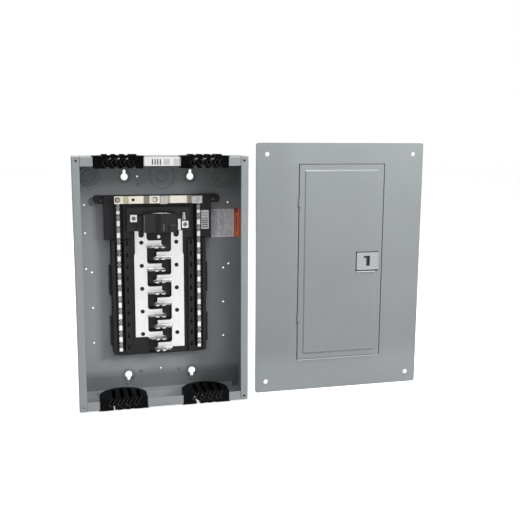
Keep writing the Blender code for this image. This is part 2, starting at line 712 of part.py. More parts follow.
def make_lug_barrier():
    """Panel over the tops of the bus bars, with a window for each lug and a hood between them."""
    half = BARRIER_HALF_WIDTH
    low, high = BARRIER_Z
    back = BUS_FRONT - GAP
    panel_half = BARRIER_PANEL_HALF_WIDTH
    panel_low, panel_high = BARRIER_PANEL_Z
    panel = rectangle(INTERIOR_X - panel_half, panel_low, INTERIOR_X + panel_half, panel_high)
    hood = add_part("lug_barrier", plate([panel], back - BARRIER_WALL, back, 'Y'), "black_plastic")
    swing = math.degrees(math.asin(half / BARRIER_CROWN_RADIUS))
    crown = arc((INTERIOR_X, high - BARRIER_CROWN_RADIUS), BARRIER_CROWN_RADIUS, 90 - swing, 90 + swing, 8)
    outline = [(INTERIOR_X - half, low), (INTERIOR_X + half, low)] + crown
    fuse(hood, plate([outline], BARRIER_FRONT, back - GAP, 'Y'))
    shoulder = BARRIER_SHOULDER_HALF_WIDTH
    above, below = BARRIER_SHOULDER_Z
    fuse(hood, box((INTERIOR_X - shoulder, BARRIER_SHOULDER_FRONT, low + above),
                   (INTERIOR_X + shoulder, back - GAP, high - below)))
    cut(hood, box((INTERIOR_X - half + BARRIER_WALL, BARRIER_FRONT + BARRIER_WALL, low - BARRIER_WALL),
                  (INTERIOR_X + half - BARRIER_WALL, back + BARRIER_WALL, high - BARRIER_TOP)))
    for side, z in ((-1, LEFT_LUG_Z), (1, RIGHT_LUG_Z)):
        width, _, height = MAIN_LUG_SIZE
        x = INTERIOR_X + side * LUG_X
        cut(hood, box((x - width / 2 - GAP, back - 2 * BARRIER_WALL, z - height / 2 - GAP),
                      (x + width / 2 + GAP, back + GAP, z + height / 2 + GAP)))
    left, right = RISER_X
    bottom, top = RISER_Z
    cut(hood, box((INTERIOR_X + left - CLEARANCE, BARRIER_FRONT - BARRIER_WALL, bottom - CLEARANCE),
                  (INTERIOR_X + right + CLEARANCE, back + GAP, top + CLEARANCE)))
    roll = [(INTERIOR_X + TANG_X, TANG_Y, z) for z in (TANG_Z[0] - CLEARANCE, TANG_Z[1] + CLEARANCE)]
    cut(hood, rod(*roll, TANG_RADIUS + CLEARANCE, 12))
    across, proud, radius, height = BARRIER_FLUTE
    flute = [(INTERIOR_X + across, BARRIER_FRONT - proud, z) for z in (low - SHEET, low + height)]
    cut(hood, rod(*flute, radius))


# ---- Bus bars ----

def stab_profile(z):
    """Section in Y and Z: flat tongue, bend, and blade standing out of the bus plane."""
    back = BUS_FRONT + BUS_THICKNESS
    bend = (BUS_FRONT - STAB_BEND, z - STAB_HALF_HEIGHT)
    face = arc(bend, STAB_BEND, 0, -90, 4)
    rear = arc(bend, STAB_BEND + BUS_THICKNESS, -90, 0, 4)
    blade = z - STAB_HALF_HEIGHT - STAB_BEND
    return ([(back, z + STAB_HALF_HEIGHT), (BUS_FRONT, z + STAB_HALF_HEIGHT)] + face
            + [(BLADE_FRONT, blade), (BLADE_FRONT, blade - BUS_THICKNESS)] + rear)


def blade_plan(side):
    """Plan of a stab about the middle of the interior: a prong for the breaker on each side."""
    front = BLADE_FRONT - SHEET
    valley = BLADE_FRONT + BLADE_VALLEY
    root = BUS_FRONT + BUS_THICKNESS + SHEET
    inner = BUS_INNER + GROOVE
    tongue = BUS_FRONT - SHEET
    points = [(inner, root), (inner, tongue), *LONG_PRONG_SLOPE, (LONG_PRONG_SHOULDER, valley),
              (LONG_PRONG_OUTER, valley), (PRONG_OUTER, front), (PRONG_INNER, front), (0, valley),
              (-PRONG_INNER, front), (-PRONG_OUTER, front), (-BLADE_REACH, valley),
              (-BLADE_REACH, tongue), (-STAB_REACH, BUS_FRONT), (-STAB_REACH, root)]
    return [(INTERIOR_X + side * across, depth) for across, depth in points]


def bar_outline(side, first_z):
    """Front view of a bus bar: pad behind the lug, strip with a step in its outer edge, and arms."""
    lug_z = LEFT_LUG_Z if side < 0 else RIGHT_LUG_Z
    bottom = first_z - POLE_PITCH * 2 * (STABS_PER_BAR - 1) - BUS_BELOW_LAST_STAB
    narrow = BUS_OUTER - BUS_STEP
    step_low, step_high = BUS_STEP_Z
    neck = BUS_TOP_Z + BUS_NECK
    pad_half = MAIN_LUG_SIZE[0] / 2
    pad_top = lug_z + MAIN_LUG_SIZE[2] / 2 if side < 0 else TANG_Z[1]
    points = [(BUS_OUTER, bottom), (BUS_OUTER, step_low), (narrow, step_high), (narrow, neck - BUS_STEP),
              (LUG_X + pad_half, neck), (LUG_X + pad_half, pad_top), (RISER_X[0], pad_top),
              (RISER_X[0], neck), (BUS_INNER + GROOVE, BUS_TOP_Z)]
    arm_half = STAB_HALF_HEIGHT - GAP
    for stab in range(STABS_PER_BAR):
        z = first_z - 2 * POLE_PITCH * stab
        points += [(BUS_INNER, z + arm_half + ARM_FILLET), (BUS_INNER - ARM_FILLET, z + arm_half),
                   (BUS_INNER - ARM_RELIEF, z + arm_half), (BUS_INNER - ARM_RELIEF, z - arm_half),
                   (BUS_INNER, z - arm_half)]
    points.append((BUS_INNER, bottom))
    return [(INTERIOR_X + side * across, up) for across, up in points]


def fork_notch(side):
    """Rounded notch in the top of a bar's strip."""
    x = INTERIOR_X + side * BUS_HOLE_X
    low = BUS_TOP_Z - FORK_DEPTH + FORK_HALF_WIDTH
    high = BARRIER_PANEL_Z[0] + BARRIER_WALL
    ends = [(x + FORK_HALF_WIDTH, high), (x - FORK_HALF_WIDTH, high)]
    return arc((x, low), FORK_HALF_WIDTH, 180, 360, 8) + ends


def make_bus_bar(name, side):
    first_z = FIRST_STAB_Z - (0 if side < 0 else POLE_PITCH)
    outline = bar_outline(side, first_z)
    hole_rows = [FIRST_STAB_Z - 2 * POLE_PITCH * row for row in range(STABS_PER_BAR)]
    holes = [circle((INTERIOR_X + side * BUS_HOLE_X, z), BUS_HOLE_RADIUS) for z in hole_rows]
    bar = add_part(name, plate([outline] + holes, BUS_FRONT, BUS_FRONT + BUS_THICKNESS, 'Y'), "tinned_bus")
    ends = sorted((INTERIOR_X - side * (BLADE_REACH + SHEET), INTERIOR_X + side * (BUS_INNER + BUS_STEP)))
    for stab in range(STABS_PER_BAR):
        z = first_z - 2 * POLE_PITCH * stab
        folded = add_cutter(bar, plate([stab_profile(z)], *ends, 'X'), 'UNION')
        prongs = plate([blade_plan(side)], z - STAB_DROP - SHEET, z + STAB_HALF_HEIGHT + SHEET, 'Z')
        add_cutter(folded, prongs, 'INTERSECT')
    cut(bar, plate([fork_notch(side)], BUS_FRONT - SHEET, BUS_FRONT + BUS_THICKNESS + SHEET, 'Y'))
    groove_x = INTERIOR_X + side * (BUS_OUTER - GROOVE_INSET)
    cut(bar, box((groove_x - GROOVE / 2, BUS_FRONT - SHEET, BUS_STEP_Z[1] + BUS_STEP),
                 (groove_x + GROOVE / 2, BUS_FRONT + BUS_THICKNESS / 2, BUS_TOP_Z - BUS_STEP)))
    if side > 0:
        left, right = RISER_X
        low, high = RISER_Z
        fuse(bar, box((INTERIOR_X + left, RISER_FRONT, low), (INTERIOR_X + right, BUS_FRONT + SHEET, high)))
        roll = [(INTERIOR_X + TANG_X, TANG_Y, z) for z in TANG_Z]
        fuse(bar, rod(*roll, TANG_RADIUS, 12, TANG_TOP_RADIUS))


# ---- Lugs, neutral and screws ----

def make_lug(name, screw_name, middle, size, bore_radius):
    """Lug block with a wire bore down through it and a socket screw that clamps the wire.

    The middle is that of the block's back face.
    """
    x, back, z = middle
    width, depth, height = size
    front = back - depth
    block = box((x - width / 2, front, z - height / 2), (x + width / 2, back, z + height / 2))
    lug = add_part(name, block, "neutral_metal")
    bore_y = back - LUG_BORE_WALL - bore_radius
    bore = rod((x, bore_y, z - height), (x, bore_y, z + height), bore_radius)
    cut(lug, bore, rod((x, front - SHEET, z), (x, bore_y, z), LUG_SCREW_RADIUS + CLEARANCE))
    end = bore_y - bore_radius - CLEARANCE
    head = front + LUG_SCREW_SUNK
    screw = add_part(screw_name, rod((x, head, z), (x, end, z), LUG_SCREW_RADIUS), "screw_steel")
    cut(screw, rod((x, head - SHEET, z), (x, (head + end) / 2, z), LUG_SOCKET_RADIUS, 6))
    put_origin(screw, (x, head, z))


def make_lugs():
    back = BUS_FRONT - GAP
    for name, side, z in (("left", -1, LEFT_LUG_Z), ("right", 1, RIGHT_LUG_Z)):
        make_lug(f"main_lug_{name}", f"main_lug_screw_{name}", (INTERIOR_X + side * LUG_X, back, z),
                 MAIN_LUG_SIZE, MAIN_LUG_BORE_RADIUS)
    middle = (INTERIOR_X + NEUTRAL_LUG_X, STRAP_BACK - STRAP_THICKNESS - GAP, STRAP_MIDDLE_Z)
    make_lug("neutral_lug", "neutral_lug_screw", middle, NEUTRAL_LUG_SIZE, NEUTRAL_LUG_BORE_RADIUS)


def make_neutral_bar(name, side):
    """Bar with a row of wire bores across it, each under a screw hole."""
    x = INTERIOR_X + side * NEUTRAL_X
    half = NEUTRAL_WIDTH / 2
    back = BASE_FRONT - GAP
    bar = add_part(name, box((x - half, back - NEUTRAL_HEIGHT, NEUTRAL_Z[0]),
                             (x + half, back, NEUTRAL_Z[1])), "neutral_metal")
    middle = back - NEUTRAL_HEIGHT / 2
    pairs = [FIRST_TERMINAL_PAIR_Z - POLE_PITCH * pair for pair in range(TERMINAL_PAIRS)]
    bores = [circle((middle, z + offset), TERMINAL_BORE_RADIUS, 8)
             for z in pairs for offset in (TERMINAL_SPACING / 2, -TERMINAL_SPACING / 2)]
    cut(bar, plate(bores, x - NEUTRAL_WIDTH, x + NEUTRAL_WIDTH, 'X'))


def make_neutral_strap():
    """Flat strap over the tops of both neutral bars, with a raised step at its middle."""
    low = STRAP_MIDDLE_Z - STRAP_HEIGHT / 2
    high = STRAP_MIDDLE_Z + STRAP_HEIGHT / 2
    front = STRAP_BACK - STRAP_THICKNESS
    outline = rectangle(INTERIOR_X - STRAP_HALF_WIDTH, low, INTERIOR_X + STRAP_HALF_WIDTH, high)
    holes = [circle((INTERIOR_X + STRAP_HOLE_X, STRAP_MIDDLE_Z), STRAP_HOLE_RADIUS),
             circle((INTERIOR_X + BONDING_SCREW_X, STRAP_MIDDLE_Z), BONDING_HOLE_RADIUS)]
    strap = add_part("neutral_strap", plate([outline] + holes, front, STRAP_BACK, 'Y'), "strap_metal")
    left, right = STRAP_STEP_X
    fuse(strap, box((INTERIOR_X + left, front - STRAP_STEP, low - STRAP_STEP),
                    (INTERIOR_X + right, STRAP_BACK - GAP, high - GAP)))


def make_bonding_screw():
    """Screw through the strap and base that would bond the neutral to the enclosure."""
    x = INTERIOR_X + BONDING_SCREW_X
    z = STRAP_MIDDLE_Z
    seat = STRAP_BACK - STRAP_THICKNESS - GAP
    head = rod((x, seat, z), (x, seat - BONDING_HEAD_HEIGHT, z), BONDING_HEAD_RADIUS)
    screw = add_part("bonding_screw", head, "screw_steel")
    fuse(screw, rod((x, seat - 0.001, z), (x, BASE_BACK - 0.001, z), BONDING_SHANK_RADIUS, 12))
    half = BONDING_HEAD_RADIUS + GAP
    cut(screw, box((x - half, seat - 2 * BONDING_HEAD_HEIGHT, z - SCREW_SLOT_HALF),
                   (x + half, seat - BONDING_HEAD_HEIGHT / 2, z + SCREW_SLOT_HALF)))
    put_origin(screw, (x, seat, z))


def make_panhead_screw(name, x, z, seat, slot_turn):
    """Slotted pan-head screw that holds a base to the back wall."""
    top = seat - PAN_HEAD_HEIGHT
    head = rod((x, seat, z), (x, top, z), PAN_HEAD_RADIUS, 16, 0.8 * PAN_HEAD_RADIUS)
    screw = add_part(name, head, "screw_steel")
    fuse(screw, rod((x, seat - 0.001, z), (x, BASE_BACK - GAP, z), PAN_SHANK_RADIUS, 10))
    across = Vector((math.cos(slot_turn), 0, math.sin(slot_turn))) * (PAN_HEAD_RADIUS + GAP)
    middle = Vector((x, top, z))
    cut(screw, rod(middle - across, middle + across, 1.5 * SCREW_SLOT_HALF, 4))


def make_interior_screws():
    ear_seat = BASE_BACK - EAR_THICKNESS - GAP
    for name, side, turn in (("left", -1, 0.5), ("right", 1, 1.2)):
        make_panhead_screw(f"interior_screw_{name}", INTERIOR_X + side * EAR_SCREW_X, EAR_SCREW_Z,
                           ear_seat, turn)
    make_panhead_screw("interior_screw_middle", INTERIOR_X, MIDDLE_SCREW_Z, BASE_FRONT - GAP, 0.2)


# ---- Labels ----

def make_label(name, across, up, front, material):
    """Thin flat label between two heights, standing on a wall that faces -Y."""
    corners = [(x, front - thickness, z) for x, z, thickness in zip(across, up, (LABEL_THICKNESS, 0))]
    add_part(name, box(*corners), material)


def make_labels():
    top = BOX_HEIGHT / 2
    up = [top - below for below in ENDWALL_LABEL_BELOW_TOP]
    make_label("endwall_label", ENDWALL_LABEL_X, up, -BOX_DEPTH + END_FLANGE_SETBACK - GAP, "white_label")
    make_label("interior_label", INTERIOR_LABEL_X, INTERIOR_LABEL_Z, BASE_FRONT - GAP, "white_label")
    wall = -SHEET - GAP
    make_label("wiring_label", WIRING_LABEL_X, WIRING_LABEL_Z, wall, "white_label")
    corner = (BOX_WIDTH / 2 - SHEET - GAP, wall)
    bend = [(corner[0], CAUTION_LABEL_FRONT), corner, (CAUTION_LABEL_LEFT, wall)]
    profile = folded_outline(bend, LABEL_THICKNESS, CAUTION_LABEL_RADIUS, 3)
    add_part("caution_label", plate([profile], *CAUTION_LABEL_Z, 'Z'), "orange_label")


# ---- Cover ----

def cover_shape(outline):
    """An outline given about the cover's middle, moved to where the cover stands."""
    return [(x + COVER_X, z + COVER_Z) for x, z in outline]


def door_opening(grow):
    return rounded_rectangle(DOOR_LEFT - grow, DOOR_BOTTOM - grow, DOOR_RIGHT + grow, DOOR_TOP + grow,
                             DOOR_CORNER)


def make_cover_trim():
    """Front sheet with returned edges, an opening for the door and a hole at each corner."""
    half_w = COVER_WIDTH / 2
    half_h = COVER_HEIGHT / 2
    outer = rounded_rectangle(-half_w, -half_h, half_w, half_h, COVER_CORNER, 4)
    inner = rounded_rectangle(-half_w + SHEET, -half_h + SHEET, half_w - SHEET, half_h - SHEET,
                              COVER_CORNER - SHEET, 4)
    holes = [circle((side * COVER_SCREW_X, end * COVER_SCREW_Z), COVER_SCREW_RADIUS)
             for side in (-1, 1) for end in (-1, 1)]
    outlines = [cover_shape(line) for line in [outer, door_opening(DOOR_GAP)] + holes]
    trim = add_part("cover_trim", plate(outlines, COVER_FRONT, COVER_FRONT + SHEET, 'Y'), "enamel")
    fuse(trim, plate([cover_shape(outer), cover_shape(inner)], COVER_FRONT + SHEET / 2,
                     COVER_FRONT + COVER_LIP, 'Y'))
    x = COVER_X + HINGE_X
    half = DOOR_KNUCKLE / 2 + GAP
    reach = half + TRIM_KNUCKLE
    for height in HINGE_ZS.values():
        z = COVER_Z + height
        cut(trim, box((x - KNUCKLE_RADIUS - CLEARANCE, COVER_FRONT - SHEET, z - half),
                      (x + KNUCKLE_RADIUS, COVER_FRONT + 2 * SHEET, z + half)))
        for end in (-1, 1):
            ends = [(x, HINGE_Y, z + end * place) for place in (half, reach)]
            fuse(trim, rod(*ends, KNUCKLE_RADIUS, 12))
        bore = [(x, HINGE_Y, z + end * (reach + 2 * GAP)) for end in (-1, 1)]
        cut(trim, rod(*bore, PIN_BORE_RADIUS, 12))


def make_deadfront():
    """Pan behind the door: a rim against the cover, four walls and a floor with twist-outs."""
    back_of_cover = COVER_FRONT + SHEET + GAP
    floor_back = back_of_cover + PAN_DEPTH
    opening, outside, rim = (door_opening(DOOR_GAP + PAN_MARGIN + grow) for grow in (0, PAN_SHEET, PAN_RIM))
    pan = add_part("deadfront", plate([cover_shape(rim)], back_of_cover, back_of_cover + PAN_SHEET, 'Y'),
                   "enamel")
    fuse(pan, plate([cover_shape(outside)], back_of_cover + PAN_SHEET / 2, floor_back, 'Y'))
    cut(pan, plate([cover_shape(opening)], back_of_cover - PAN_SHEET, floor_back - PAN_SHEET, 'Y'))
    slots = []
    for side in (-1, 1):
        for pole in range(2 * STABS_PER_BAR):
            slots += twistout_slots(side, FIRST_STAB_Z - POLE_PITCH * pole)
    cut(pan, plate([cover_shape(slot) for slot in slots], floor_back - 2 * PAN_SHEET,
                   floor_back + PAN_SHEET, 'Y'))


def twistout_slots(side, z):
    """Two cuts around one twist-out that leave a tab at the middle of each end."""
    near = INTERIOR_X + side * TWISTOUT_INNER
    far = INTERIOR_X + side * TWISTOUT_OUTER
    left, right = sorted((near, far))
    half = TWISTOUT_HEIGHT / 2
    line = TWISTOUT_SLOT
    tab = TWISTOUT_TAB / 2
    cuts = []
    for end in (-1, 1):
        shape = [(left, tab), (left, half), (right, half), (right, tab), (right - line, tab),
                 (right - line, half - line), (left + line, half - line), (left + line, tab)]
        cuts.append([(x, z + end * up) for x, up in shape])
    return cuts


def make_hinge_pins():
    x = COVER_X + HINGE_X
    reach = DOOR_KNUCKLE / 2 + GAP + TRIM_KNUCKLE + GAP
    for name, height in HINGE_ZS.items():
        z = COVER_Z + height
        pin = rod((x, HINGE_Y, z - reach), (x, HINGE_Y, z + reach), PIN_RADIUS, 12)
        add_part(f"hinge_pin_{name}", pin, "screw_steel")


# ---- Door and latch ----

def make_door():
    """Sheet door with a raised panel, returned edges, two hinge knuckles and a latch opening."""
    edge = door_opening(0)
    latch_hole = rectangle(LATCH_X[0], LATCH_Z[0], LATCH_X[1], LATCH_Z[1])
    front = COVER_FRONT
    door = add_part("door", plate([cover_shape(edge)], front, front + DOOR_LIP, 'Y'), "enamel")
    inner_edge = rounded_rectangle(DOOR_LEFT + SHEET, DOOR_BOTTOM + SHEET, DOOR_RIGHT - SHEET,
                                   DOOR_TOP - SHEET, DOOR_CORNER - SHEET)
    cut(door, plate([cover_shape(inner_edge)], front + SHEET, front + 2 * DOOR_LIP, 'Y'))
    fuse(door, bevelled_panel(0, front + SHEET / 2, front, front - DOOR_EMBOSS))
    cut(door, bevelled_panel(SHEET, front + 2 * SHEET, front + SHEET, front + SHEET - DOOR_EMBOSS))
    cut(door, plate([cover_shape(latch_hole)], front - 2 * DOOR_LIP, front + 2 * DOOR_LIP, 'Y'))
    x = COVER_X + HINGE_X
    half = DOOR_KNUCKLE / 2
    reach = half + TRIM_KNUCKLE + 3 * GAP
    for height in HINGE_ZS.values():
        z = COVER_Z + height
        notches = [box((x - KNUCKLE_RADIUS, front - SHEET, z + low),
                       (x + KNUCKLE_RADIUS + CLEARANCE, front + 2 * SHEET, z + high))
                   for low, high in ((-reach, -half), (half, reach))]
        cut(door, *notches)
        fuse(door, rod((x, HINGE_Y, z - half), (x, HINGE_Y, z + half), KNUCKLE_RADIUS, 12))
        cut(door, rod((x, HINGE_Y, z - reach), (x, HINGE_Y, z + reach), PIN_BORE_RADIUS, 12))
    put_origin(door, (x, HINGE_Y, COVER_Z))


def panel_outline(inset):
    edge = DOOR_BORDER + inset
    return cover_shape(rounded_rectangle(DOOR_LEFT + edge, DOOR_BOTTOM + edge, DOOR_RIGHT - edge,
                                         DOOR_TOP - edge, DOOR_CORNER))


def bevelled_panel(inset, back, shoulder, front):
    """Block whose edges slope in from the shoulder to the front."""
    rings = [(panel_outline(inset), back), (panel_outline(inset), shoulder),
             (panel_outline(inset + DOOR_BEVEL), front)]
    return loft([[(x, y, z) for x, z in outline] for outline, y in rings])


def cut_latch_window(target, grow, front, back):
    """Cuts a T-shaped recess between two depths: a wide head with a narrow stem under it."""
    x, z = latch_middle()
    head_w, head_h = LATCH_WINDOW_HEAD
    stem_w, stem_h = LATCH_WINDOW_STEM
    top = z + (head_h + stem_h) / 2 + grow
    bottom = z - (head_h + stem_h) / 2 - grow
    shoulder = top - head_h - 2 * grow
    cut(target, box((x - head_w / 2 - grow, front, shoulder), (x + head_w / 2 + grow, back, top)))
    x += LATCH_STEM_OFFSET
    cut(target, box((x - stem_w / 2 - grow, front, bottom), (x + stem_w / 2 + grow, back, top - head_h / 2)))


def latch_middle():
    return COVER_X + sum(LATCH_X) / 2 - LATCH_STEM_OFFSET / 2, COVER_Z + sum(LATCH_Z) / 2


def make_latch_housing():
    """Moulded bezel in the door, with a T-shaped window and a pocket behind for the slide."""
    low_x, high_x = (COVER_X + LATCH_X[0] + LATCH_GAP, COVER_X + LATCH_X[1] - CLEARANCE)
    low_z, high_z = (COVER_Z + LATCH_Z[0] + LATCH_GAP, COVER_Z + LATCH_Z[1] - LATCH_GAP)
    front = COVER_FRONT - DOOR_EMBOSS
    back = front + LATCH_BODY_DEPTH
    body = plate([rounded_rectangle(low_x, low_z, high_x, high_z, LATCH_CORNER)], front, back, 'Y')
    housing = add_part("latch_housing", body, "latch_plastic")
    cut_latch_window(housing, 0, front - SHEET, front + LATCH_BEZEL + GAP)
    pocket = box((low_x + LATCH_WALL, front + LATCH_BEZEL, low_z + LATCH_WALL),
                 (high_x + SHEET, back - LATCH_BEZEL, high_z - LATCH_WALL))
    cut(housing, pocket)


def make_latch_slide():
    """Slide with a finger recess behind the window and a bolt towards the door's free edge."""
    wall = LATCH_WALL + LATCH_GAP
    front = COVER_FRONT - DOOR_EMBOSS + LATCH_BEZEL + GAP
    back = COVER_FRONT - DOOR_EMBOSS + LATCH_BODY_DEPTH - LATCH_BEZEL - GAP
    low = COVER_Z + LATCH_Z[0] + wall + GAP
    high = COVER_Z + LATCH_Z[1] - wall - GAP
    left = COVER_X + LATCH_X[0] + wall + LATCH_TRAVEL + SHEET
    right = COVER_X + LATCH_X[1] - SHEET
    slide = add_part("latch_slide", box((left, front, low), (right, back, high)), "latch_plastic")
    cut_latch_window(slide, -LATCH_GAP, front - SHEET, back - LATCH_BEZEL)


def make_directory_card():
    back = COVER_FRONT + SHEET - DOOR_EMBOSS + GAP
    left, right = CARD_X
    low, high = CARD_Z
    card = box((COVER_X + left, back, COVER_Z + low),
               (COVER_X + right, back + CARD_THICKNESS, COVER_Z + high))
    add_part("directory_card", card, "card")


def build():
    make_box_shell()
    for end_name, end in (("top", 1), ("bottom", -1)):
        make_endwall(f"{end_name}_endwall", end)
        for side_name, side in (("left", -1), ("right", 1)):
            make_cable_grip(f"cable_grip_{end_name}_{side_name}", side, end)
    make_stab_base()
    make_lug_base()
    make_lug_barrier()
    for name, side in (("left", -1), ("right", 1)):
        make_bus_bar(f"bus_bar_{name}", side)
        make_neutral_bar(f"neutral_bar_{name}", side)
    make_neutral_strap()
    make_lugs()
    make_bonding_screw()
    make_interior_screws()
    make_labels()
    make_cover_trim()
    make_deadfront()
    make_hinge_pins()
    make_door()
    make_latch_housing()
    make_latch_slide()
    make_directory_card()


clear_scene()
parts = make_collection("load_center")
cutters = make_collection("cutters")
materials = {name: make_material(name) for name in MATERIALS}
build()
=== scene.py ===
import math
import random

import bmesh
import bpy
from mathutils import Matrix, Vector


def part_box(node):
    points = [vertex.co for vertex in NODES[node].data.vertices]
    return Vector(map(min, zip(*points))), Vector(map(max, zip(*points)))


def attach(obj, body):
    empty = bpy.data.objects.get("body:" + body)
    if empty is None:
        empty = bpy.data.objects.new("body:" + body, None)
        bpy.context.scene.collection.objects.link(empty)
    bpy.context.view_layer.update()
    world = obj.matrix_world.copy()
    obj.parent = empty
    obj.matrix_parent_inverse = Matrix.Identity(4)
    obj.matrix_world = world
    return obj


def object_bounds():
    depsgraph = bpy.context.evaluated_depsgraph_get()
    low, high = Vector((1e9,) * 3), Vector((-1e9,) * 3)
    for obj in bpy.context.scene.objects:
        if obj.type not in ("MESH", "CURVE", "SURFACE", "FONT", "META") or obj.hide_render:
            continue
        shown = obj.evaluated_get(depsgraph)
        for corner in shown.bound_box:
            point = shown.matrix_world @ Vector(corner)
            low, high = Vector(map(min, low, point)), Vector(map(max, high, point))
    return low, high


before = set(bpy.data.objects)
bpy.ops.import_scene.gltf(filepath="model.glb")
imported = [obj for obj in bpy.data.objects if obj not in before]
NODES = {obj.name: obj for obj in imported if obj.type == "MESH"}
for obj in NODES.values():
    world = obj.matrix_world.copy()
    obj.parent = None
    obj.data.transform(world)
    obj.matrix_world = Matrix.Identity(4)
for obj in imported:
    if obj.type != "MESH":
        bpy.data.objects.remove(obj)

CAD_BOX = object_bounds()

# Camera: focal length as a share of the frame's width, place in metres, angles in degrees
FOCAL_SHARE = 754 / 520
SENSOR = 36
CAMERA_PLACE = (-0.1847, -1.6459, 0.3119)
CAMERA_YAW = 14.16
CAMERA_PITCH = -9.48
CAMERA_ROLL = 0.34

# Studio: the floor's drop below the object, how the world brightens with height, and the softboxes as
# name, place, target, size and power
FLOOR_DROP = 0.0005
WORLD_RAMP = (-0.6, 0.8, 0.16, 0.42)
STUDIO_MIDDLE = (0.2, 0, 0)
SOFTBOXES = (
    ("key", (2.1, -2.0, 1.35), STUDIO_MIDDLE, (0.9, 0.9), 56),
    ("overhead", (0.25, -1.0, 1.45), STUDIO_MIDDLE, (0.9, 0.5), 9),
    ("fill", (-1.6, -2.6, 0.9), STUDIO_MIDDLE, (1.6, 1.6), 12),
    ("back", (-0.8, 2.4, 1.6), STUDIO_MIDDLE, (1.6, 1.6), 30),
    ("top_strip", (0.62, -0.10, 1.45), (0.40, -0.05, 0.2), (0.9, 0.16), 16),
)

# Terminal screws of the neutral bars: where the pairs are, then the sizes of a head, its slot, and the discs
# and strips of painted shade round the head and on the slot's floor
SEED = 7
TERMINAL_GROUPS = 12
TERMINAL_GROUP_PITCH = 0.0254
FIRST_GROUP_Z = 0.1353
TOP_GROUP_Z = 0.1562
TERMINAL_SPACING = 0.0076
TERMINAL_SEAT = 0.0002
TERMINAL_HEAD = 0.0027
TERMINAL_RISE = (0.0010, 0.0016)
TERMINAL_TURN = 0.35
TERMINAL_SLOT = 0.0006
TERMINAL_SLOT_DEPTH = 0.0009
TERMINAL_SHADE = ((0.0039, 0.0), (0.0039, 0.0003), (0.0036, 0.00035))
SLOT_SHADE_REACH = 0.0026
SLOT_SHADE_HALF = 0.00055
SLOT_SHADE_RISE = (0.00003, 0.00025)

# Rails that hold the neutral bars, and the black strip of painted shade beside each, for a deep channel
CHANNEL_SEAT = 0.0004
CHANNEL_HOOK = 0.0006
CHANNEL_WALL = 0.0014
CHANNEL_OVER = 0.0008
CHANNEL_GAP = 0.0002
CHANNEL_Z = (-0.1570, 0.1635)
CHANNEL_SHADE_REACH = 0.0064
CHANNEL_SHADE_RISE = 0.0006

# Neutral strap: how far its block stands forward, its height, its screw, and places along X
STRAP_STEP = 0.0015
STRAP_HALF_HEIGHT = 0.008
STRAP_SCREW_X = -0.0881
STRAP_SCREW_TURN = 0.9
STRAP_SCREW_HEAD = 0.0040
STRAP_SHADE_RADIUS = 0.0056
STRAP_CLIP_X = (-0.0322, -0.0225)
STRAP_BLOCK_RIDGES_X = (0.0034, 0.0092, 0.0150)
STRAP_END_RIDGES_X = (0.0622, 0.0648)
STRAP_FOLD_RIDGES_X = (-0.0828, -0.0749, -0.0656, 0.0238)

# Tapered sleeve beside the right lug
TANG_PLACE = (0.0520, -0.0275, 0.1366)
TANG_RADII = (0.0062, 0.0040)
TANG_LENGTH = 0.0160

# Stretches of the strap along X: its two ends, how much of the colour shows, and the colour. The dark ones
# are painted shade in folds and recesses; the olive ones are darker near the left end, the grey one the
# block's tone
STRAP_OLIVE = (0.34, 0.29, 0.19)
STRAP_FOLD_SHADE = (0.13, 0.11, 0.09)
STRAP_GREY = (0.44, 0.43, 0.42)
STRAP_STRETCHES = (
    (-0.0960, -0.0915, 0.35, STRAP_OLIVE), (-0.0760, -0.0665, 0.70, STRAP_OLIVE),
    (-0.0668, -0.0656, 0.60, STRAP_FOLD_SHADE), (-0.0334, -0.0213, 0.75, STRAP_FOLD_SHADE),
    (0.0008, 0.0028, 0.55, STRAP_FOLD_SHADE), (0.0028, 0.0186, 0.75, STRAP_GREY),
    (0.0186, 0.0226, 0.60, STRAP_FOLD_SHADE), (0.0590, 0.0668, 0.60, STRAP_FOLD_SHADE),
)

# Painted shade on the enamel, or painted light where the share is negative: the largest share of the light
# that is lost, and for each axis where the stretch starts and where it is full
INSIDE_BACK_WALL = ((1, -0.012, -0.006), (1, -0.0004, -0.0012))
# Painted shade on the inside: towards the bottom and the right of the back wall, and in its upper right
WALL_PAINTED_SHADE = (
    (0.42, ((2, -0.205, -0.225),) + INSIDE_BACK_WALL),
    (0.25, ((0, 0.05, 0.13),) + INSIDE_BACK_WALL),
    (0.38, ((2, 0.165, 0.20), (0, 0.05, 0.11), (1, -0.085, -0.06), (1, -0.0004, -0.0012))),
)
# Painted light on the cover: darker from its top down, lighter again along its bottom, a little darker on its
# left edge
COVER_PAINTED_LIGHT = (
    (0.12, ((2, 0.24, 0.02),)),
    (-0.14, ((2, -0.17, -0.215),)),
    (0.06, ((0, 0.30, 0.27), (2, -0.215, -0.17))),
)

# Back wall: keyholes, knockouts as a place and radii, and dimples as X and Z. The profiles of their bands
# are a distance outwards and a rise towards -Y
KEYHOLE_X = 0.071
KEYHOLE_Z = 0.220
KEYHOLE_RADIUS = 0.0075
KEYHOLE_SLOT = 0.006
KEYHOLE_REACH = {1: 0.0155, -1: 0.0130}
BACK_KNOCKOUTS = (((-0.145, 0.221), (0.0125, 0.0205)), ((0.010, 0.220), (0.0110, 0.0265)),
                  ((0.1425, 0.2156), (0.0125, 0.0205)))
KEYHOLE_RIM = ((0.0012, -0.0002), (0.0026, 0.0010), (0.0034, 0.0010), (0.0046, -0.0002))
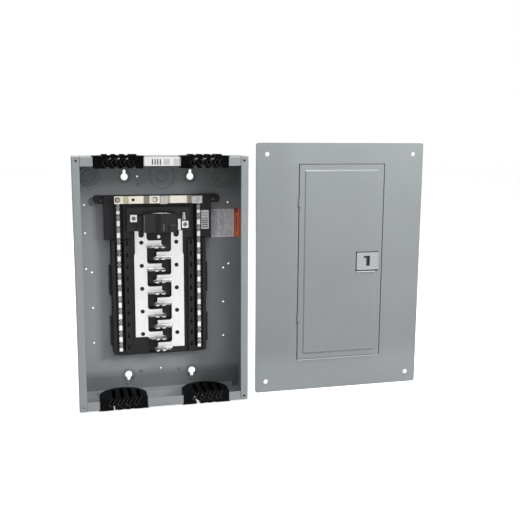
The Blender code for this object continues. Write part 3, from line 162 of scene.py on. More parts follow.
# Bands round the keyhole rims, the knockout rings and the dimples are drawn in darker enamel: painted shade
KEYHOLE_SHADE = ((0.0046, -0.0002), (0.0050, 0.0003), (0.0068, 0.0003), (0.0076, -0.0002))
KNOCKOUT_BAND = ((-0.0019, -0.0002), (-0.0010, 0.0003), (0.0010, 0.0003), (0.0019, -0.0002))
DIMPLE = ((0.0046, 0.0), (0.0036, 0.0008), (0.0022, 0.0012), (0.0008, 0.00135))
DIMPLES = ((-0.0745, -0.2405), (0.0675, -0.2385), (-0.0435, 0.2030), (-0.0430, -0.2130), (0.0420, -0.2130))

# Cable channels of the grips: middle of a grip, its channels and the pale lines of painted highlight along
# their edges, and how far to the left and how far in from the end wall each point of a channel lies
GRIP_X = 0.0885
GRIP_CHANNELS = 4
GRIP_CHANNEL = 0.0082
GRIP_CHANNEL_PITCH = 0.0174
GRIP_CHANNEL_FIRST = -0.0175
GRIP_HIGHLIGHT = 0.0007
GRIP_HIGHLIGHT_DEPTH = 0.006
CHANNEL_LEAN_START = 0.0035
CLOSED_CHANNEL_START = (0.002, 0.005)
CHANNEL_KNEE = (0.0105, 0.0105)
CHANNEL_FOOT = (0.0020, 0.0238)

# Hood between the lugs: its crown, and flat details on its face as left, right, bottom and top: pale lines
# that are painted highlights and dark patches that are painted shade
HOOD_MIDDLE_X = -0.0015
CROWN_TOP = 0.1445
CROWN_RADIUS = 0.330
CROWN_BEAD_X = (-0.0165, 0.0215)
CROWN_BEAD = 0.0007
HOOD_PAINTED_HIGHLIGHTS = ((-0.0344, -0.0332, 0.1050, 0.1410), (0.0064, 0.0086, 0.1060, 0.1210),
              (0.0225, 0.0334, 0.1178, 0.1188))
HOOD_PAINTED_SHADES = ((-0.0110, 0.0010, 0.1045, 0.1425), (0.0168, 0.0200, 0.1090, 0.1200))

# Latch: span of Y inside its finger recess, painted dark as shade, width of the strip of painted shade in the
# gap round it, and height of the edge below it, lighter as a painted highlight
LATCH_RECESS_Y = (-0.0486, -0.0436)
LATCH_GAP_SHADE = 0.0023
LATCH_SILL = 0.0026

# Opening of the trim as left, right, bottom and top, its edges of painted shade and painted highlight, and
# the hinge pins
OPENING = (0.3066, 0.5083, -0.1983, 0.2475)
OPENING_SHADE = 0.0008
OPENING_SILL = 0.0020
HINGE_PINS = ("hinge_pin_lower", "hinge_pin_upper")
HINGE_REACH = 0.0011

# Outer block of each lower grip and the notch in it, as spans of X about the grip's middle
GRIP_WEBS = {
    "left": ((-0.0410, 0.0369), (-0.0341, -0.0186)),
    "right": ((-0.0300, 0.0500), (-0.0229, -0.0065)),
}
GRIP_WEB_DEPTHS = (0.0102, 0.0420)
GRIP_WEB_HEIGHT = 0.0052


# ---- Materials ----

class Graph:
    """One material and short names for its shader nodes, on the piece's own coordinates in metres."""

    def __init__(self, name, colour, roughness, metallic=0.0):
        self.material = bpy.data.materials.new(name)
        self.material.use_nodes = True
        self.tree = self.material.node_tree
        self.shader = self.tree.nodes["Principled BSDF"]
        self.material.diffuse_color = (*colour, 1)
        self.colour = colour
        self.shader.inputs["Base Color"].default_value = (*colour, 1)
        self.shader.inputs["Roughness"].default_value = roughness
        self.shader.inputs["Metallic"].default_value = metallic
        self.place = self.tree.nodes.new("ShaderNodeTexCoord").outputs["Object"]

    def put(self, socket, value):
        if isinstance(value, bpy.types.NodeSocket):
            self.tree.links.new(value, socket)
        elif isinstance(value, tuple) and len(value) == 3 and socket.type == "RGBA":
            socket.default_value = (*value, 1)
        else:
            socket.default_value = value

    def calc(self, operation, *values):
        node = self.tree.nodes.new("ShaderNodeMath")
        node.operation = operation
        for socket, value in zip(node.inputs, values):
            self.put(socket, value)
        return node.outputs[0]

    def stretched(self, stretch):
        node = self.tree.nodes.new("ShaderNodeMapping")
        self.put(node.inputs["Vector"], self.place)
        node.inputs["Scale"].default_value = stretch
        return node.outputs[0]

    def noise(self, scale, detail=2.0, stretch=(1, 1, 1)):
        node = self.tree.nodes.new("ShaderNodeTexNoise")
        self.put(node.inputs["Vector"], self.stretched(stretch))
        node.inputs["Scale"].default_value = scale
        node.inputs["Detail"].default_value = detail
        return node.outputs["Fac"]

    def spread(self, value, low, high, new_low=0.0, new_high=1.0):
        node = self.tree.nodes.new("ShaderNodeMapRange")
        for socket, item in zip(node.inputs, (value, low, high, new_low, new_high)):
            self.put(socket, item)
        return node.outputs[0]

    def mix(self, factor, first, second, blend="MIX"):
        node = self.tree.nodes.new("ShaderNodeMix")
        node.data_type = "RGBA"
        node.blend_type = blend
        self.put(node.inputs[0], factor)
        self.put(node.inputs[6], first)
        self.put(node.inputs[7], second)
        return node.outputs[2]

    def axes(self):
        node = self.tree.nodes.new("ShaderNodeSeparateXYZ")
        self.put(node.inputs[0], self.place)
        return node.outputs

    def band(self, value, low, high):
        """1 between two values and 0 outside."""
        over = self.calc("GREATER_THAN", value, low)
        return self.calc("MULTIPLY", over, self.calc("LESS_THAN", value, high))

    def stripes(self, value, start, pitch, share):
        """1 for the first share of each pitch, counted from start."""
        turns = self.calc("DIVIDE", self.calc("SUBTRACT", value, start), pitch)
        return self.calc("LESS_THAN", self.calc("FRACT", turns), share)

    def every(self, first, *others):
        for other in others:
            first = self.calc("MULTIPLY", first, other)
        return first

    def either(self, first, *others):
        for other in others:
            first = self.calc("MAXIMUM", first, other)
        return first

    def bump(self, height, strength, distance, edge=0.0):
        """Bump from a height; edge, in metres, is how far the corners look worn round."""
        node = self.tree.nodes.new("ShaderNodeBump")
        self.put(node.inputs["Height"], height)
        node.inputs["Strength"].default_value = strength
        node.inputs["Distance"].default_value = distance
        if edge:
            worn = self.tree.nodes.new("ShaderNodeBevel")
            worn.samples = 4
            worn.inputs["Radius"].default_value = edge
            self.put(node.inputs["Normal"], worn.outputs[0])
        self.put(self.shader.inputs["Normal"], node.outputs[0])

    def tone(self, value):
        self.put(self.shader.inputs["Base Color"], value)

    def gloss(self, value):
        self.put(self.shader.inputs["Roughness"], value)


def times(colour, factor):
    return tuple(part * factor for part in colour)


def enamel(name="enamel", colour=(0.315, 0.338, 0.352), painted_light_and_shade=()):
    """Baked grey enamel: faint clouding, orange peel, a satin gloss, and painted shade and light in
    stretches.
    """
    g = Graph(name, colour, 0.42)
    cloud = g.noise(6.0, 3.0)
    fine = g.noise(900.0, 2.0)
    specks = g.noise(2600.0, 1.0)
    tone = g.mix(g.spread(cloud, 0.35, 0.65), times(g.colour, 0.965), times(g.colour, 1.035))
    tone = g.mix(g.spread(specks, 0.62, 0.75, 0.0, 0.22), tone, times(g.colour, 0.72))
    # Each entry multiplies painted shade into the colour, or painted light where its share is negative
    for share, ramps in painted_light_and_shade:
        amount = g.every(*(g.spread(g.axes()[axis], start, end) for axis, start, end in ramps))
        tone = g.mix(amount, tone, g.mix(1.0, tone, (1 - share,) * 3, "MULTIPLY"))
    g.tone(tone)
    g.gloss(g.spread(g.noise(40.0, 3.0), 0.3, 0.7, 0.36, 0.46))
    g.bump(fine, 0.16, 0.0002, 0.0006)
    g.shader.inputs["Coat Weight"].default_value = 0.12
    g.shader.inputs["Coat Roughness"].default_value = 0.25
    return g.material


def bright_metal(name, colour, roughness, along, stain=0.12):
    """Plated metal with rolling lines along one axis, cloudy tarnish and fine scratches."""
    g = Graph(name, colour, roughness, 1.0)
    stretch = [260.0, 260.0, 260.0]
    stretch[along] = 9.0
    lines = g.noise(4.0, 3.0, tuple(stretch))
    cloud = g.noise(55.0, 4.0)
    tone = g.mix(g.spread(cloud, 0.35, 0.7), colour, times(colour, 1.0 - stain))
    tone = g.mix(g.spread(lines, 0.35, 0.7, 0.0, 0.18), tone, times(colour, 0.75))
    g.tone(tone)
    g.gloss(g.spread(lines, 0.3, 0.7, roughness - 0.07, roughness + 0.1))
    g.bump(lines, 0.12, 0.0001, 0.0003)
    return g.material


def strap_plate():
    """Ivory-gold plated strap: rolled lines, painted shade in folds and recesses, and olive and grey
    stretches.
    """
    colour = (0.80, 0.765, 0.665)
    g = Graph("strap_plate", colour, 0.38, 1.0)
    x = g.axes()[0]
    lines = g.noise(5.0, 3.0, (40.0, 240.0, 240.0))
    cloud = g.noise(60.0, 3.0)
    tone = g.mix(g.spread(cloud, 0.35, 0.7), colour, times(colour, 0.86))
    tone = g.mix(g.spread(lines, 0.4, 0.7, 0.0, 0.2), tone, times(colour, 0.7))
    # Dark stretches are painted shade in folds and recesses
    for low, high, share, shade in STRAP_STRETCHES:
        tone = g.mix(g.calc("MULTIPLY", g.band(x, low, high), share), tone, shade)
    g.tone(tone)
    g.gloss(g.spread(lines, 0.3, 0.7, 0.32, 0.48))
    g.bump(lines, 0.1, 0.0001)
    return g.material


def black_plastic(name, colour, roughness, level, edge):
    """Moulded phenolic with a fine spark texture and soft flow marks."""
    g = Graph(name, colour, roughness)
    g.shader.inputs["Specular IOR Level"].default_value = level
    grain = g.noise(1500.0, 2.0)
    flow = g.noise(22.0, 4.0, (1.0, 1.0, 2.5))
    g.tone(g.mix(g.spread(flow, 0.35, 0.7), colour, times(colour, 1.55)))
    g.gloss(g.spread(flow, 0.3, 0.7, roughness - 0.06, roughness + 0.1))
    g.bump(grain, 0.2, 0.00015, edge)
    return g.material


def latch_plastic(name, recess=None):
    """Light grey moulded plastic with a matt grain; a recess is a span of Y where it is nearly black, as
    painted shade.
    """
    g = Graph(name, (0.46, 0.465, 0.475), 0.48)
    grain = g.noise(1300.0, 2.0)
    cloud = g.noise(50.0, 2.0)
    tone = g.mix(cloud, times(g.colour, 0.95), times(g.colour, 1.05))
    if recess:
        # Painted shade: nearly black over the span of Y inside the finger recess
        tone = g.mix(g.calc("MULTIPLY", g.band(g.axes()[1], *recess), 0.93), tone, (0.012, 0.012, 0.013))
    g.tone(tone)
    g.gloss(g.spread(cloud, 0.3, 0.7, 0.42, 0.54))
    g.bump(grain, 0.15, 0.0001, 0.0004)
    return g.material


def paper(g, tone):
    """Finish shared by the labels: faint fibre and a little unevenness in the gloss."""
    fibre = g.noise(700.0, 3.0)
    g.tone(g.mix(g.spread(fibre, 0.35, 0.75, 0.0, 0.12), tone, (0.35, 0.35, 0.35)))
    g.gloss(g.spread(g.noise(120.0, 2.0), 0.3, 0.7, 0.45, 0.62))
    g.bump(fibre, 0.05, 0.0001)
    return g.material


def endwall_label():
    """White label with a run of thick bars, a run of thin ones and a grey end."""
    g = Graph("endwall_label", (0.82, 0.82, 0.83), 0.5)
    x, _, z = g.axes()
    inner = g.band(z, 0.2492, 0.2606)
    thick = g.every(g.band(x, -0.0212, -0.0005), g.stripes(x, -0.0212, 0.0053, 0.48), inner)
    thin = g.every(g.band(x, 0.0030, 0.0150), g.stripes(x, 0.0030, 0.0019, 0.55), inner)
    grey = g.every(g.band(x, 0.0225, 0.0338), g.band(z, 0.2475, 0.2612))
    tone = g.mix(thick, g.colour, (0.015, 0.015, 0.018))
    tone = g.mix(g.calc("MULTIPLY", thin, 0.75), tone, (0.12, 0.12, 0.13))
    tone = g.mix(g.calc("MULTIPLY", grey, 0.6), tone, (0.42, 0.42, 0.44))
    return paper(g, tone)


def interior_label():
    """White label with wide bars below and thin lines above, as a generic stand-in for its code."""
    g = Graph("interior_label", (0.88, 0.88, 0.92), 0.5)
    x, _, z = g.axes()
    across = g.band(x, 0.0925, 0.1070)
    wide = g.every(across, g.band(z, 0.1085, 0.1285), g.stripes(z, 0.1088, 0.0045, 0.55))
    thin = g.every(across, g.band(z, 0.1300, 0.1450), g.stripes(z, 0.1306, 0.0036, 0.33))
    tone = g.mix(wide, g.colour, (0.020, 0.020, 0.028))
    tone = g.mix(g.calc("MULTIPLY", thin, 0.85), tone, (0.10, 0.10, 0.12))
    return paper(g, tone)


def wiring_label():
    """Grey label with broken rows of thin lines in columns, a few ruled boxes and a white border."""
    g = Graph("wiring_label", (0.84, 0.84, 0.88), 0.5)
    x, _, z = g.axes()
    words = g.calc("GREATER_THAN", g.noise(1.0, 1.0, (420.0, 1.0, 90.0)), 0.44)
    rows = g.every(g.stripes(z, 0.0845, 0.0021, 0.5), words)
    left = g.every(g.band(x, 0.1182, 0.1325), g.band(z, 0.0885, 0.1455), rows)
    middle = g.every(g.band(x, 0.1362, 0.1462), g.band(z, 0.0885, 0.1455), rows)
    right = g.every(g.band(x, 0.1482, 0.1660), g.band(z, 0.1120, 0.1455), rows)
    rules = g.every(g.band(x, 0.1482, 0.1660), g.band(z, 0.0885, 0.0990), g.stripes(z, 0.0885, 0.0030, 0.3))
    border = g.either(g.calc("GREATER_THAN", x, 0.1672), g.calc("LESS_THAN", z, 0.0862))
    blot = g.spread(g.noise(150.0, 3.0, (1.6, 1.0, 0.8)), 0.42, 0.62, 0.0, 0.30)
    tone = g.mix(blot, g.colour, (0.34, 0.34, 0.38))
    tone = g.mix(g.calc("MULTIPLY", g.either(left, middle), 0.55), tone, (0.13, 0.13, 0.16))
    tone = g.mix(g.calc("MULTIPLY", right, 0.25), tone, (0.13, 0.13, 0.16))
    tone = g.mix(g.calc("MULTIPLY", rules, 0.5), tone, (0.16, 0.16, 0.17))
    tone = g.mix(g.calc("MULTIPLY", border, 0.8), tone, (0.95, 0.95, 0.93))
    return paper(g, tone)


def caution_label():
    """Orange label with a dark heading and border, a dark column and rows of thin lines."""
    g = Graph("caution_label", (0.98, 0.23, 0.10), 0.5)
    x, y, z = g.axes()
    worn = g.spread(g.noise(260.0, 3.0, (1.0, 1.0, 0.5)), 0.40, 0.65, 0.0, 0.4)
    head = g.every(g.calc("GREATER_THAN", z, 0.1388), g.calc("LESS_THAN", x, 0.1776))
    border = g.calc("LESS_THAN", x, 0.1714)
    column = g.every(g.band(x, 0.1740, 0.1762), g.band(z, 0.0960, 0.1320))
    rows = g.every(g.stripes(z, 0.0845, 0.0024, 0.4), g.band(z, 0.0870, 0.1330), g.band(y, -0.0165, -0.0055))
    tone = g.mix(worn, g.colour, (0.60, 0.12, 0.06))
    tone = g.mix(g.calc("MULTIPLY", head, 0.85), tone, (0.16, 0.020, 0.012))
    tone = g.mix(g.calc("MULTIPLY", g.either(border, column), 0.75), tone, (0.14, 0.018, 0.010))
    tone = g.mix(g.calc("MULTIPLY", rows, 0.5), tone, (0.10, 0.02, 0.012))
    return paper(g, tone)


def ruled_card():
    """Cream card with two columns of ruled lines, for the names of the circuits."""
    g = Graph("ruled_card", (0.72, 0.70, 0.63), 0.75)
    x, _, z = g.axes()
    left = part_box("directory_card")[0].x
    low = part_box("directory_card")[0].z
    middle = left + 0.075
    rules = g.every(g.stripes(z, low + 0.012, 0.0125, 0.05), g.band(z, low + 0.011, low + 0.150),
                    g.band(x, left + 0.006, left + 0.144))
    columns = g.either(g.band(x, middle - 0.0004, middle + 0.0004), g.band(x, left + 0.0160, left + 0.0166),
                       g.band(x, middle + 0.0580, middle + 0.0586))
    columns = g.every(columns, g.band(z, low + 0.012, low + 0.150))
    tone = g.mix(g.calc("MULTIPLY", g.either(rules, columns), 0.8), g.colour, (0.10, 0.11, 0.13))
    return paper(g, tone)


def floor_material():
    """Pale studio sweep: bright enough to stay white, with only a soft shadow under the object."""
    g = Graph("studio_floor", (0.80, 0.80, 0.80), 0.75)
    g.tone(g.mix(g.noise(3.0, 2.0), (0.79, 0.79, 0.79), (0.81, 0.81, 0.81)))
    g.shader.inputs["Emission Color"].default_value = (1, 1, 1, 1)
    g.shader.inputs["Emission Strength"].default_value = 0.74
    return g.material


MATERIALS = {
    "enamel": enamel(),
    # Wall, cover and shaded enamels carry painted shade and light; the shaded one is also darker all over, as
    # painted shade
    "wall_enamel": enamel("wall_enamel", painted_light_and_shade=WALL_PAINTED_SHADE),
    "cover_enamel": enamel("cover_enamel", painted_light_and_shade=COVER_PAINTED_LIGHT),
    "shaded_enamel": enamel("shaded_enamel", (0.262, 0.280, 0.294), WALL_PAINTED_SHADE),
    # Lighter enamel for the bevels under the latch and the door: a painted highlight
    "highlight_enamel": enamel("highlight_enamel", (0.42, 0.44, 0.45)),
    "tinned_bus": bright_metal("tinned_bus", (0.66, 0.655, 0.65), 0.42, 2, 0.06),
    "neutral_metal": bright_metal("neutral_metal", (0.74, 0.74, 0.73), 0.36, 2),
    "strap_metal": strap_plate(),
    "black_plastic": black_plastic("black_plastic", (0.0070, 0.0066, 0.0084), 0.46, 0.26, 0.0005),
    "lug_barrier": black_plastic("lug_barrier", (0.0080, 0.0078, 0.0090), 0.36, 0.34, 0.0014),
    "cable_grip": black_plastic("cable_grip", (0.0014, 0.0014, 0.0016), 0.36, 0.045, 0.0007),
    # Near-black used only for painted shade: shadow gaps, channel strips, hinge ends and discs under screws
    "painted_shade_black": black_plastic("painted_shade_black", (0.0030, 0.0030, 0.0030), 0.60, 0.10, 0.0002),
    "terminal_screw": bright_metal("terminal_screw", (0.45, 0.45, 0.44), 0.38, 0, 0.3),
    "dark_screw": bright_metal("dark_screw", (0.085, 0.085, 0.09), 0.38, 0, 0.3),
    "lug_screw": bright_metal("lug_screw", (0.24, 0.24, 0.24), 0.42, 0, 0.3),
    "dull_block": bright_metal("dull_block", (0.42, 0.42, 0.41), 0.45, 0, 0.25),
    # Darker patches on the hood's face: painted shade
    "hood_shade": black_plastic("hood_shade", (0.0048, 0.0046, 0.0054), 0.42, 0.22, 0.0002),
    # Grey lines along the grips' channels: painted highlights
    "grip_highlight": black_plastic("grip_highlight", (0.045, 0.045, 0.048), 0.34, 0.4, 0.0),
    # Grey lines on the hood's face: painted highlights
    "hood_highlight_grey": black_plastic("hood_highlight_grey", (0.10, 0.10, 0.105), 0.34, 0.5, 0.0),
    # Pale bead on the hood's crown: a painted highlight
    "hood_bead": black_plastic("hood_bead", (0.80, 0.80, 0.82), 0.20, 0.9, 0.0),
    "bright_screw": bright_metal("bright_screw", (0.92, 0.92, 0.90), 0.5, 0, 0.1),
    "strap_clip": bright_metal("strap_clip", (0.30, 0.27, 0.22), 0.5, 2, 0.3),
    "latch_plastic": latch_plastic("latch_plastic"),
    # Latch slide: nearly black inside its finger recess, as painted shade
    "latch_slide": latch_plastic("latch_slide", LATCH_RECESS_Y),
    "screw_steel": bright_metal("screw_steel", (0.66, 0.66, 0.65), 0.34, 0, 0.2),
    "endwall_label": endwall_label(),
    "interior_label": interior_label(),
    "wiring_label": wiring_label(),
    "caution_label": caution_label(),
    "directory_card": ruled_card(),
}

NODE_MATERIALS = {
    "interior_screw_left": "dark_screw", "interior_screw_right": "dark_screw",
    "interior_screw_middle": "bright_screw",
    "main_lug_screw_left": "lug_screw", "main_lug_screw_right": "lug_screw",
    "neutral_lug_screw": "dull_block", "neutral_lug": "dull_block",
    "box_shell": "wall_enamel", "cover_trim": "cover_enamel", "door": "cover_enamel",
}


def dress_nodes():
    """Gives each CAD node its material: its own where there is one by its name, or its slot's."""
    for name, node in NODES.items():
        slot = node.data.materials[0].name.split(".")[0]
        kind = NODE_MATERIALS.get(name, "cable_grip" if name.startswith("cable_grip") else name)
        chosen = MATERIALS.get(kind) or MATERIALS[slot]
        for index in range(len(node.data.materials)):
            node.data.materials[index] = chosen


# ---- Pieces ----

def add_piece(name, bm, material, body, smooth=False):
    bmesh.ops.recalc_face_normals(bm, faces=bm.faces)
    mesh = bpy.data.meshes.new(name)
    bm.to_mesh(mesh)
    bm.free()
    for face in mesh.polygons:
        face.use_smooth = smooth
    mesh.materials.append(MATERIALS[material])
    piece = bpy.data.objects.new(name, mesh)
    bpy.context.scene.collection.objects.link(piece)
    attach(piece, body)


def join_rings(bm, first, second):
    """Faces between two closed rings that have the same number of points."""
    for index in range(len(first)):
        following = (index + 1) % len(first)
        bm.faces.new((first[index], first[following], second[following], second[index]))


def add_profile(bm, points, low, high, axis="Z"):
    """Outline carried along an axis from low to high; a point gives the other two axes in their order."""
    at = "XYZ".index(axis)
    rings = []
    for along in (low, high):
        rings.append([bm.verts.new((*point[:at], along, *point[at:])) for point in points])
    join_rings(bm, *rings)
    for ring in rings:
        bm.faces.new(ring)


def rectangle(left, right, bottom, top):
    return [(left, bottom), (right, bottom), (right, top), (left, top)]


def ridge(middle, half, seat, rise, chamfer=0.0004):
    """Outline of a low bar with broken corners, standing on seat towards -Y."""
    left, right = middle - half, middle + half
    shoulder = seat - rise + chamfer
    return [(left, seat), (left, shoulder), (left + chamfer, seat - rise),
            (right - chamfer, seat - rise), (right, shoulder), (right, seat)]


def add_sill(bm, left, right, face, top, height):
    """Low bevel along X that faces up and out from a surface at Y of face."""
    section = [(face + 0.0002, top), (face - 0.75 * height, top - height),
               (face + 0.0002, top - height - 0.0002)]
    add_profile(bm, section, left, right, "X")


def add_lathe(bm, place, profile, steps):
    """Surface of revolution about a line through place along Y; profile is (radius, rise towards -Y)."""
    x0, y0, z0 = place
    turns = [math.tau * step / steps for step in range(steps)]
    rings = []
    for radius, rise in profile:
        rings.append([bm.verts.new((x0 + radius * math.cos(turn), y0 - rise, z0 + radius * math.sin(turn)))
                      for turn in turns])
    for low, high in zip(rings, rings[1:]):
        join_rings(bm, low, high)
    return rings


def add_disc(bm, place, profile, steps):
    rings = add_lathe(bm, place, profile, steps)
    bm.faces.new(rings[-1])
    bm.faces.new(rings[0])


def chord_arc(radius, half, steps):
    """Points of the part of a circle above a chord at height half, from right to left."""
    start = math.asin(half / radius)
    return [(radius * math.cos(start + (math.pi - 2 * start) * step / steps),
             radius * math.sin(start + (math.pi - 2 * start) * step / steps)) for step in range(steps + 1)]


def add_slotted_screw(bm, place, turn, radius, height, slot_half, slot_depth, steps=8):
    """Slotted head whose underside's middle is at place and whose top faces -Y."""
    chamfer = 0.25 * height
    floor_rise = height - slot_depth
    reach = chord_arc(radius, slot_half, steps)[0][0]
    x0, y0, z0 = place

    def point(across, up, rise):
        return bm.verts.new((x0 + across * math.cos(turn) - up * math.sin(turn), y0 - rise,
                             z0 + across * math.sin(turn) + up * math.cos(turn)))

    for side in (1, -1):
        rings = []
        for ring_radius, rise in ((radius, 0), (radius, height - chamfer), (radius - chamfer, height)):
            arc = chord_arc(ring_radius, slot_half, steps)
            rings.append([point(across, side * up, rise) for across, up in arc])
        for low, high in zip(rings, rings[1:]):
            for step in range(steps):
                bm.faces.new((low[step], low[step + 1], high[step + 1], high[step]))
        bm.faces.new(rings[2])
        floor = [point(sign * reach, side * slot_half, floor_rise) for sign in (1, -1)]
        bm.faces.new((rings[2][0], rings[1][0], floor[0], floor[1], rings[1][-1], rings[2][-1]))
    corners = [(reach, slot_half), (-reach, slot_half), (-reach, -slot_half), (reach, -slot_half)]
    bm.faces.new([point(across, up, floor_rise) for across, up in corners])
    for sign in (1, -1):
        ends = [(sign * reach, slot_half), (sign * reach, -slot_half)]
        bm.faces.new([point(*ends[0], floor_rise), point(*ends[1], floor_rise),
                      point(*ends[1], 0), point(*ends[0], 0)])


def add_terminal(screws, shade_discs, place, rise, turn):
    """One slotted screw, a disc of painted shade round its head, and a strip of painted shade on its slot's
    floor.
    """
    add_slotted_screw(screws, place, turn, TERMINAL_HEAD, rise, TERMINAL_SLOT, TERMINAL_SLOT_DEPTH)
    add_disc(shade_discs, place, TERMINAL_SHADE, 20)
    floor = place[1] - rise + TERMINAL_SLOT_DEPTH
    reach = Vector((math.cos(turn), math.sin(turn))) * SLOT_SHADE_REACH
    width = Vector((-math.sin(turn), math.cos(turn))) * SLOT_SHADE_HALF
    middle = Vector((place[0], place[2]))
    corners = [middle - reach - width, middle + reach - width, middle + reach + width, middle - reach + width]
    add_profile(shade_discs, corners, floor - SLOT_SHADE_RISE[1], floor - SLOT_SHADE_RISE[0], "Y")


def make_terminal_screws():
    """Slotted screws in pairs down the front of each neutral bar, each on a dark disc of painted shade."""
    rng = random.Random(SEED)
    groups = [FIRST_GROUP_Z - group * TERMINAL_GROUP_PITCH for group in range(TERMINAL_GROUPS)]
    for side in ("left", "right"):
        low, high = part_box(f"neutral_bar_{side}")
        screws = bmesh.new()
        shade_discs = bmesh.new()
        for group_z in [TOP_GROUP_Z] + groups:
            for offset in (0.5, -0.5):
                place = ((low.x + high.x) / 2, low.y + TERMINAL_SEAT, group_z + offset * TERMINAL_SPACING)
                rise = rng.uniform(*TERMINAL_RISE)
                turn = rng.uniform(-TERMINAL_TURN, TERMINAL_TURN)
                add_terminal(screws, shade_discs, place, rise, turn)
        add_piece(f"terminal_screws_{side}", screws, "terminal_screw", "enclosure")
        add_piece(f"terminal_shade_discs_{side}", shade_discs, "painted_shade_black", "enclosure")


def make_bar_channels():
    """Hooked rails that hold each neutral bar, and a black strip of painted shade beside it, for a deep
    channel.
    """
    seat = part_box("neutral_bar_left")[1].y + CHANNEL_SEAT
    for side, inward in (("left", 1), ("right", -1)):
        low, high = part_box(f"neutral_bar_{side}")
        front = low.y - CHANNEL_HOOK
        bar_front = low.y - 0.0001
        bm = bmesh.new()
        for edge, out in ((low.x, -1), (high.x, 1)):
            outer = edge + out * CHANNEL_WALL
            inner = edge - out * CHANNEL_OVER
            near = edge + out * CHANNEL_GAP
            outline = [(outer, seat), (outer, front), (inner, front), (inner, bar_front), (near, bar_front),
                       (near, seat)]
            add_profile(bm, outline, *CHANNEL_Z)
        add_piece(f"bar_channel_{side}", bm, "black_plastic", "enclosure")
        bm = bmesh.new()
        edge = high.x if side == "left" else low.x
        start, end = (edge + inward * reach for reach in (CHANNEL_WALL, CHANNEL_SHADE_REACH))
        outline = [(start, seat), (start, seat - CHANNEL_SHADE_RISE), (end, seat - CHANNEL_SHADE_RISE), (end, seat)]
        add_profile(bm, outline, *CHANNEL_Z)
        add_piece(f"base_channel_shade_{side}", bm, "painted_shade_black", "enclosure")


def make_strap_screws(seat, middle_z):
    """Screw at the strap's left end, and dark rings of painted shade under it and under the bonding screw."""
    bm = bmesh.new()
    add_slotted_screw(bm, (STRAP_SCREW_X, seat, middle_z), STRAP_SCREW_TURN, STRAP_SCREW_HEAD, 0.0016, 0.0010,
                      0.0013, 12)
    add_piece("strap_screw", bm, "dull_block", "enclosure")
    head_low, head_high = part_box("bonding_screw")
    bonding_x = (head_low.x + head_high.x) / 2 + 0.0012
    bonding_radius = (head_high.x - head_low.x) / 2 + 0.0013
    bm = bmesh.new()
    for x, radius in ((STRAP_SCREW_X, STRAP_SHADE_RADIUS), (bonding_x, bonding_radius)):
        add_disc(bm, (x, seat + 0.0001, middle_z), ((radius, 0.0), (radius, 0.0003)), 24)
    add_piece("strap_shadows", bm, "painted_shade_black", "enclosure")


def make_lug_tang():
    bm = bmesh.new()
    bmesh.ops.create_cone(bm, cap_ends=True, segments=20, radius1=TANG_RADII[0], radius2=TANG_RADII[1],
                          depth=TANG_LENGTH, matrix=Matrix.Translation(TANG_PLACE))
    add_piece("lug_tang_sleeve", bm, "dull_block", "enclosure")


def make_strap_details():
    """Screws, painted shades and clip of the neutral strap, and the ridges pressed into its block and end."""
    low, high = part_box("neutral_strap")
    seat = low.y + STRAP_STEP + 0.0001
    middle_z = (low.z + STRAP_STEP + high.z) / 2
    half_height = STRAP_HALF_HEIGHT - 0.0006
    make_strap_screws(seat, middle_z)
    make_lug_tang()
    bm = bmesh.new()
    for x in STRAP_CLIP_X:
        add_profile(bm, ridge(x, 0.0011, seat, 0.0017), middle_z - half_height, middle_z + half_height)
    add_profile(bm, ridge(sum(STRAP_CLIP_X) / 2, 0.0040, seat, 0.0006), middle_z - half_height + 0.001,
                middle_z + half_height - 0.001)
    add_piece("strap_clip", bm, "strap_clip", "enclosure")
    bm = bmesh.new()
    for x in STRAP_BLOCK_RIDGES_X:
        add_profile(bm, ridge(x, 0.0013, low.y + 0.0001, 0.0007), low.z + 0.0006, high.z - 0.0008)
    for places, half, rise in ((STRAP_END_RIDGES_X, 0.0009, 0.0009), (STRAP_FOLD_RIDGES_X, 0.0007, 0.0006)):
        for x in places:
            add_profile(bm, ridge(x, half, seat, rise), middle_z - half_height, middle_z + half_height)
    add_piece("strap_ridges", bm, "strap_metal", "enclosure")


def keyhole_loop(x, z, up, grow, y, steps=20):
    """Keyhole outline grown by a margin: a round body with a narrower round-ended slot."""
    radius = KEYHOLE_RADIUS + grow
    half = KEYHOLE_SLOT / 2 + grow
    tip = KEYHOLE_REACH[up] - KEYHOLE_SLOT / 2
    lean = math.asin(min(1.0, half / radius))
    points = [(radius * math.cos(angle), radius * math.sin(angle)) for angle in
              (math.pi / 2 + lean + (math.tau - 2 * lean) * step / steps for step in range(steps + 1))]
    points += [(half * math.cos(math.pi * step / 8), tip + half * math.sin(math.pi * step / 8))
               for step in range(9)]
    return [(x + across, y, z + up * rise) for across, rise in points]


def add_rim(bm, x, up, wall, profile):
    """Closed band round a keyhole; profile is (distance from the hole's edge, rise towards -Y)."""
    rims = [keyhole_loop(x, up * KEYHOLE_Z, up, grow, wall - rise) for grow, rise in profile]
    rings = [[bm.verts.new(point) for point in rim] for rim in rims]
    for low, high in zip(rings, rings[1:] + rings[:1]):
        join_rings(bm, low, high)


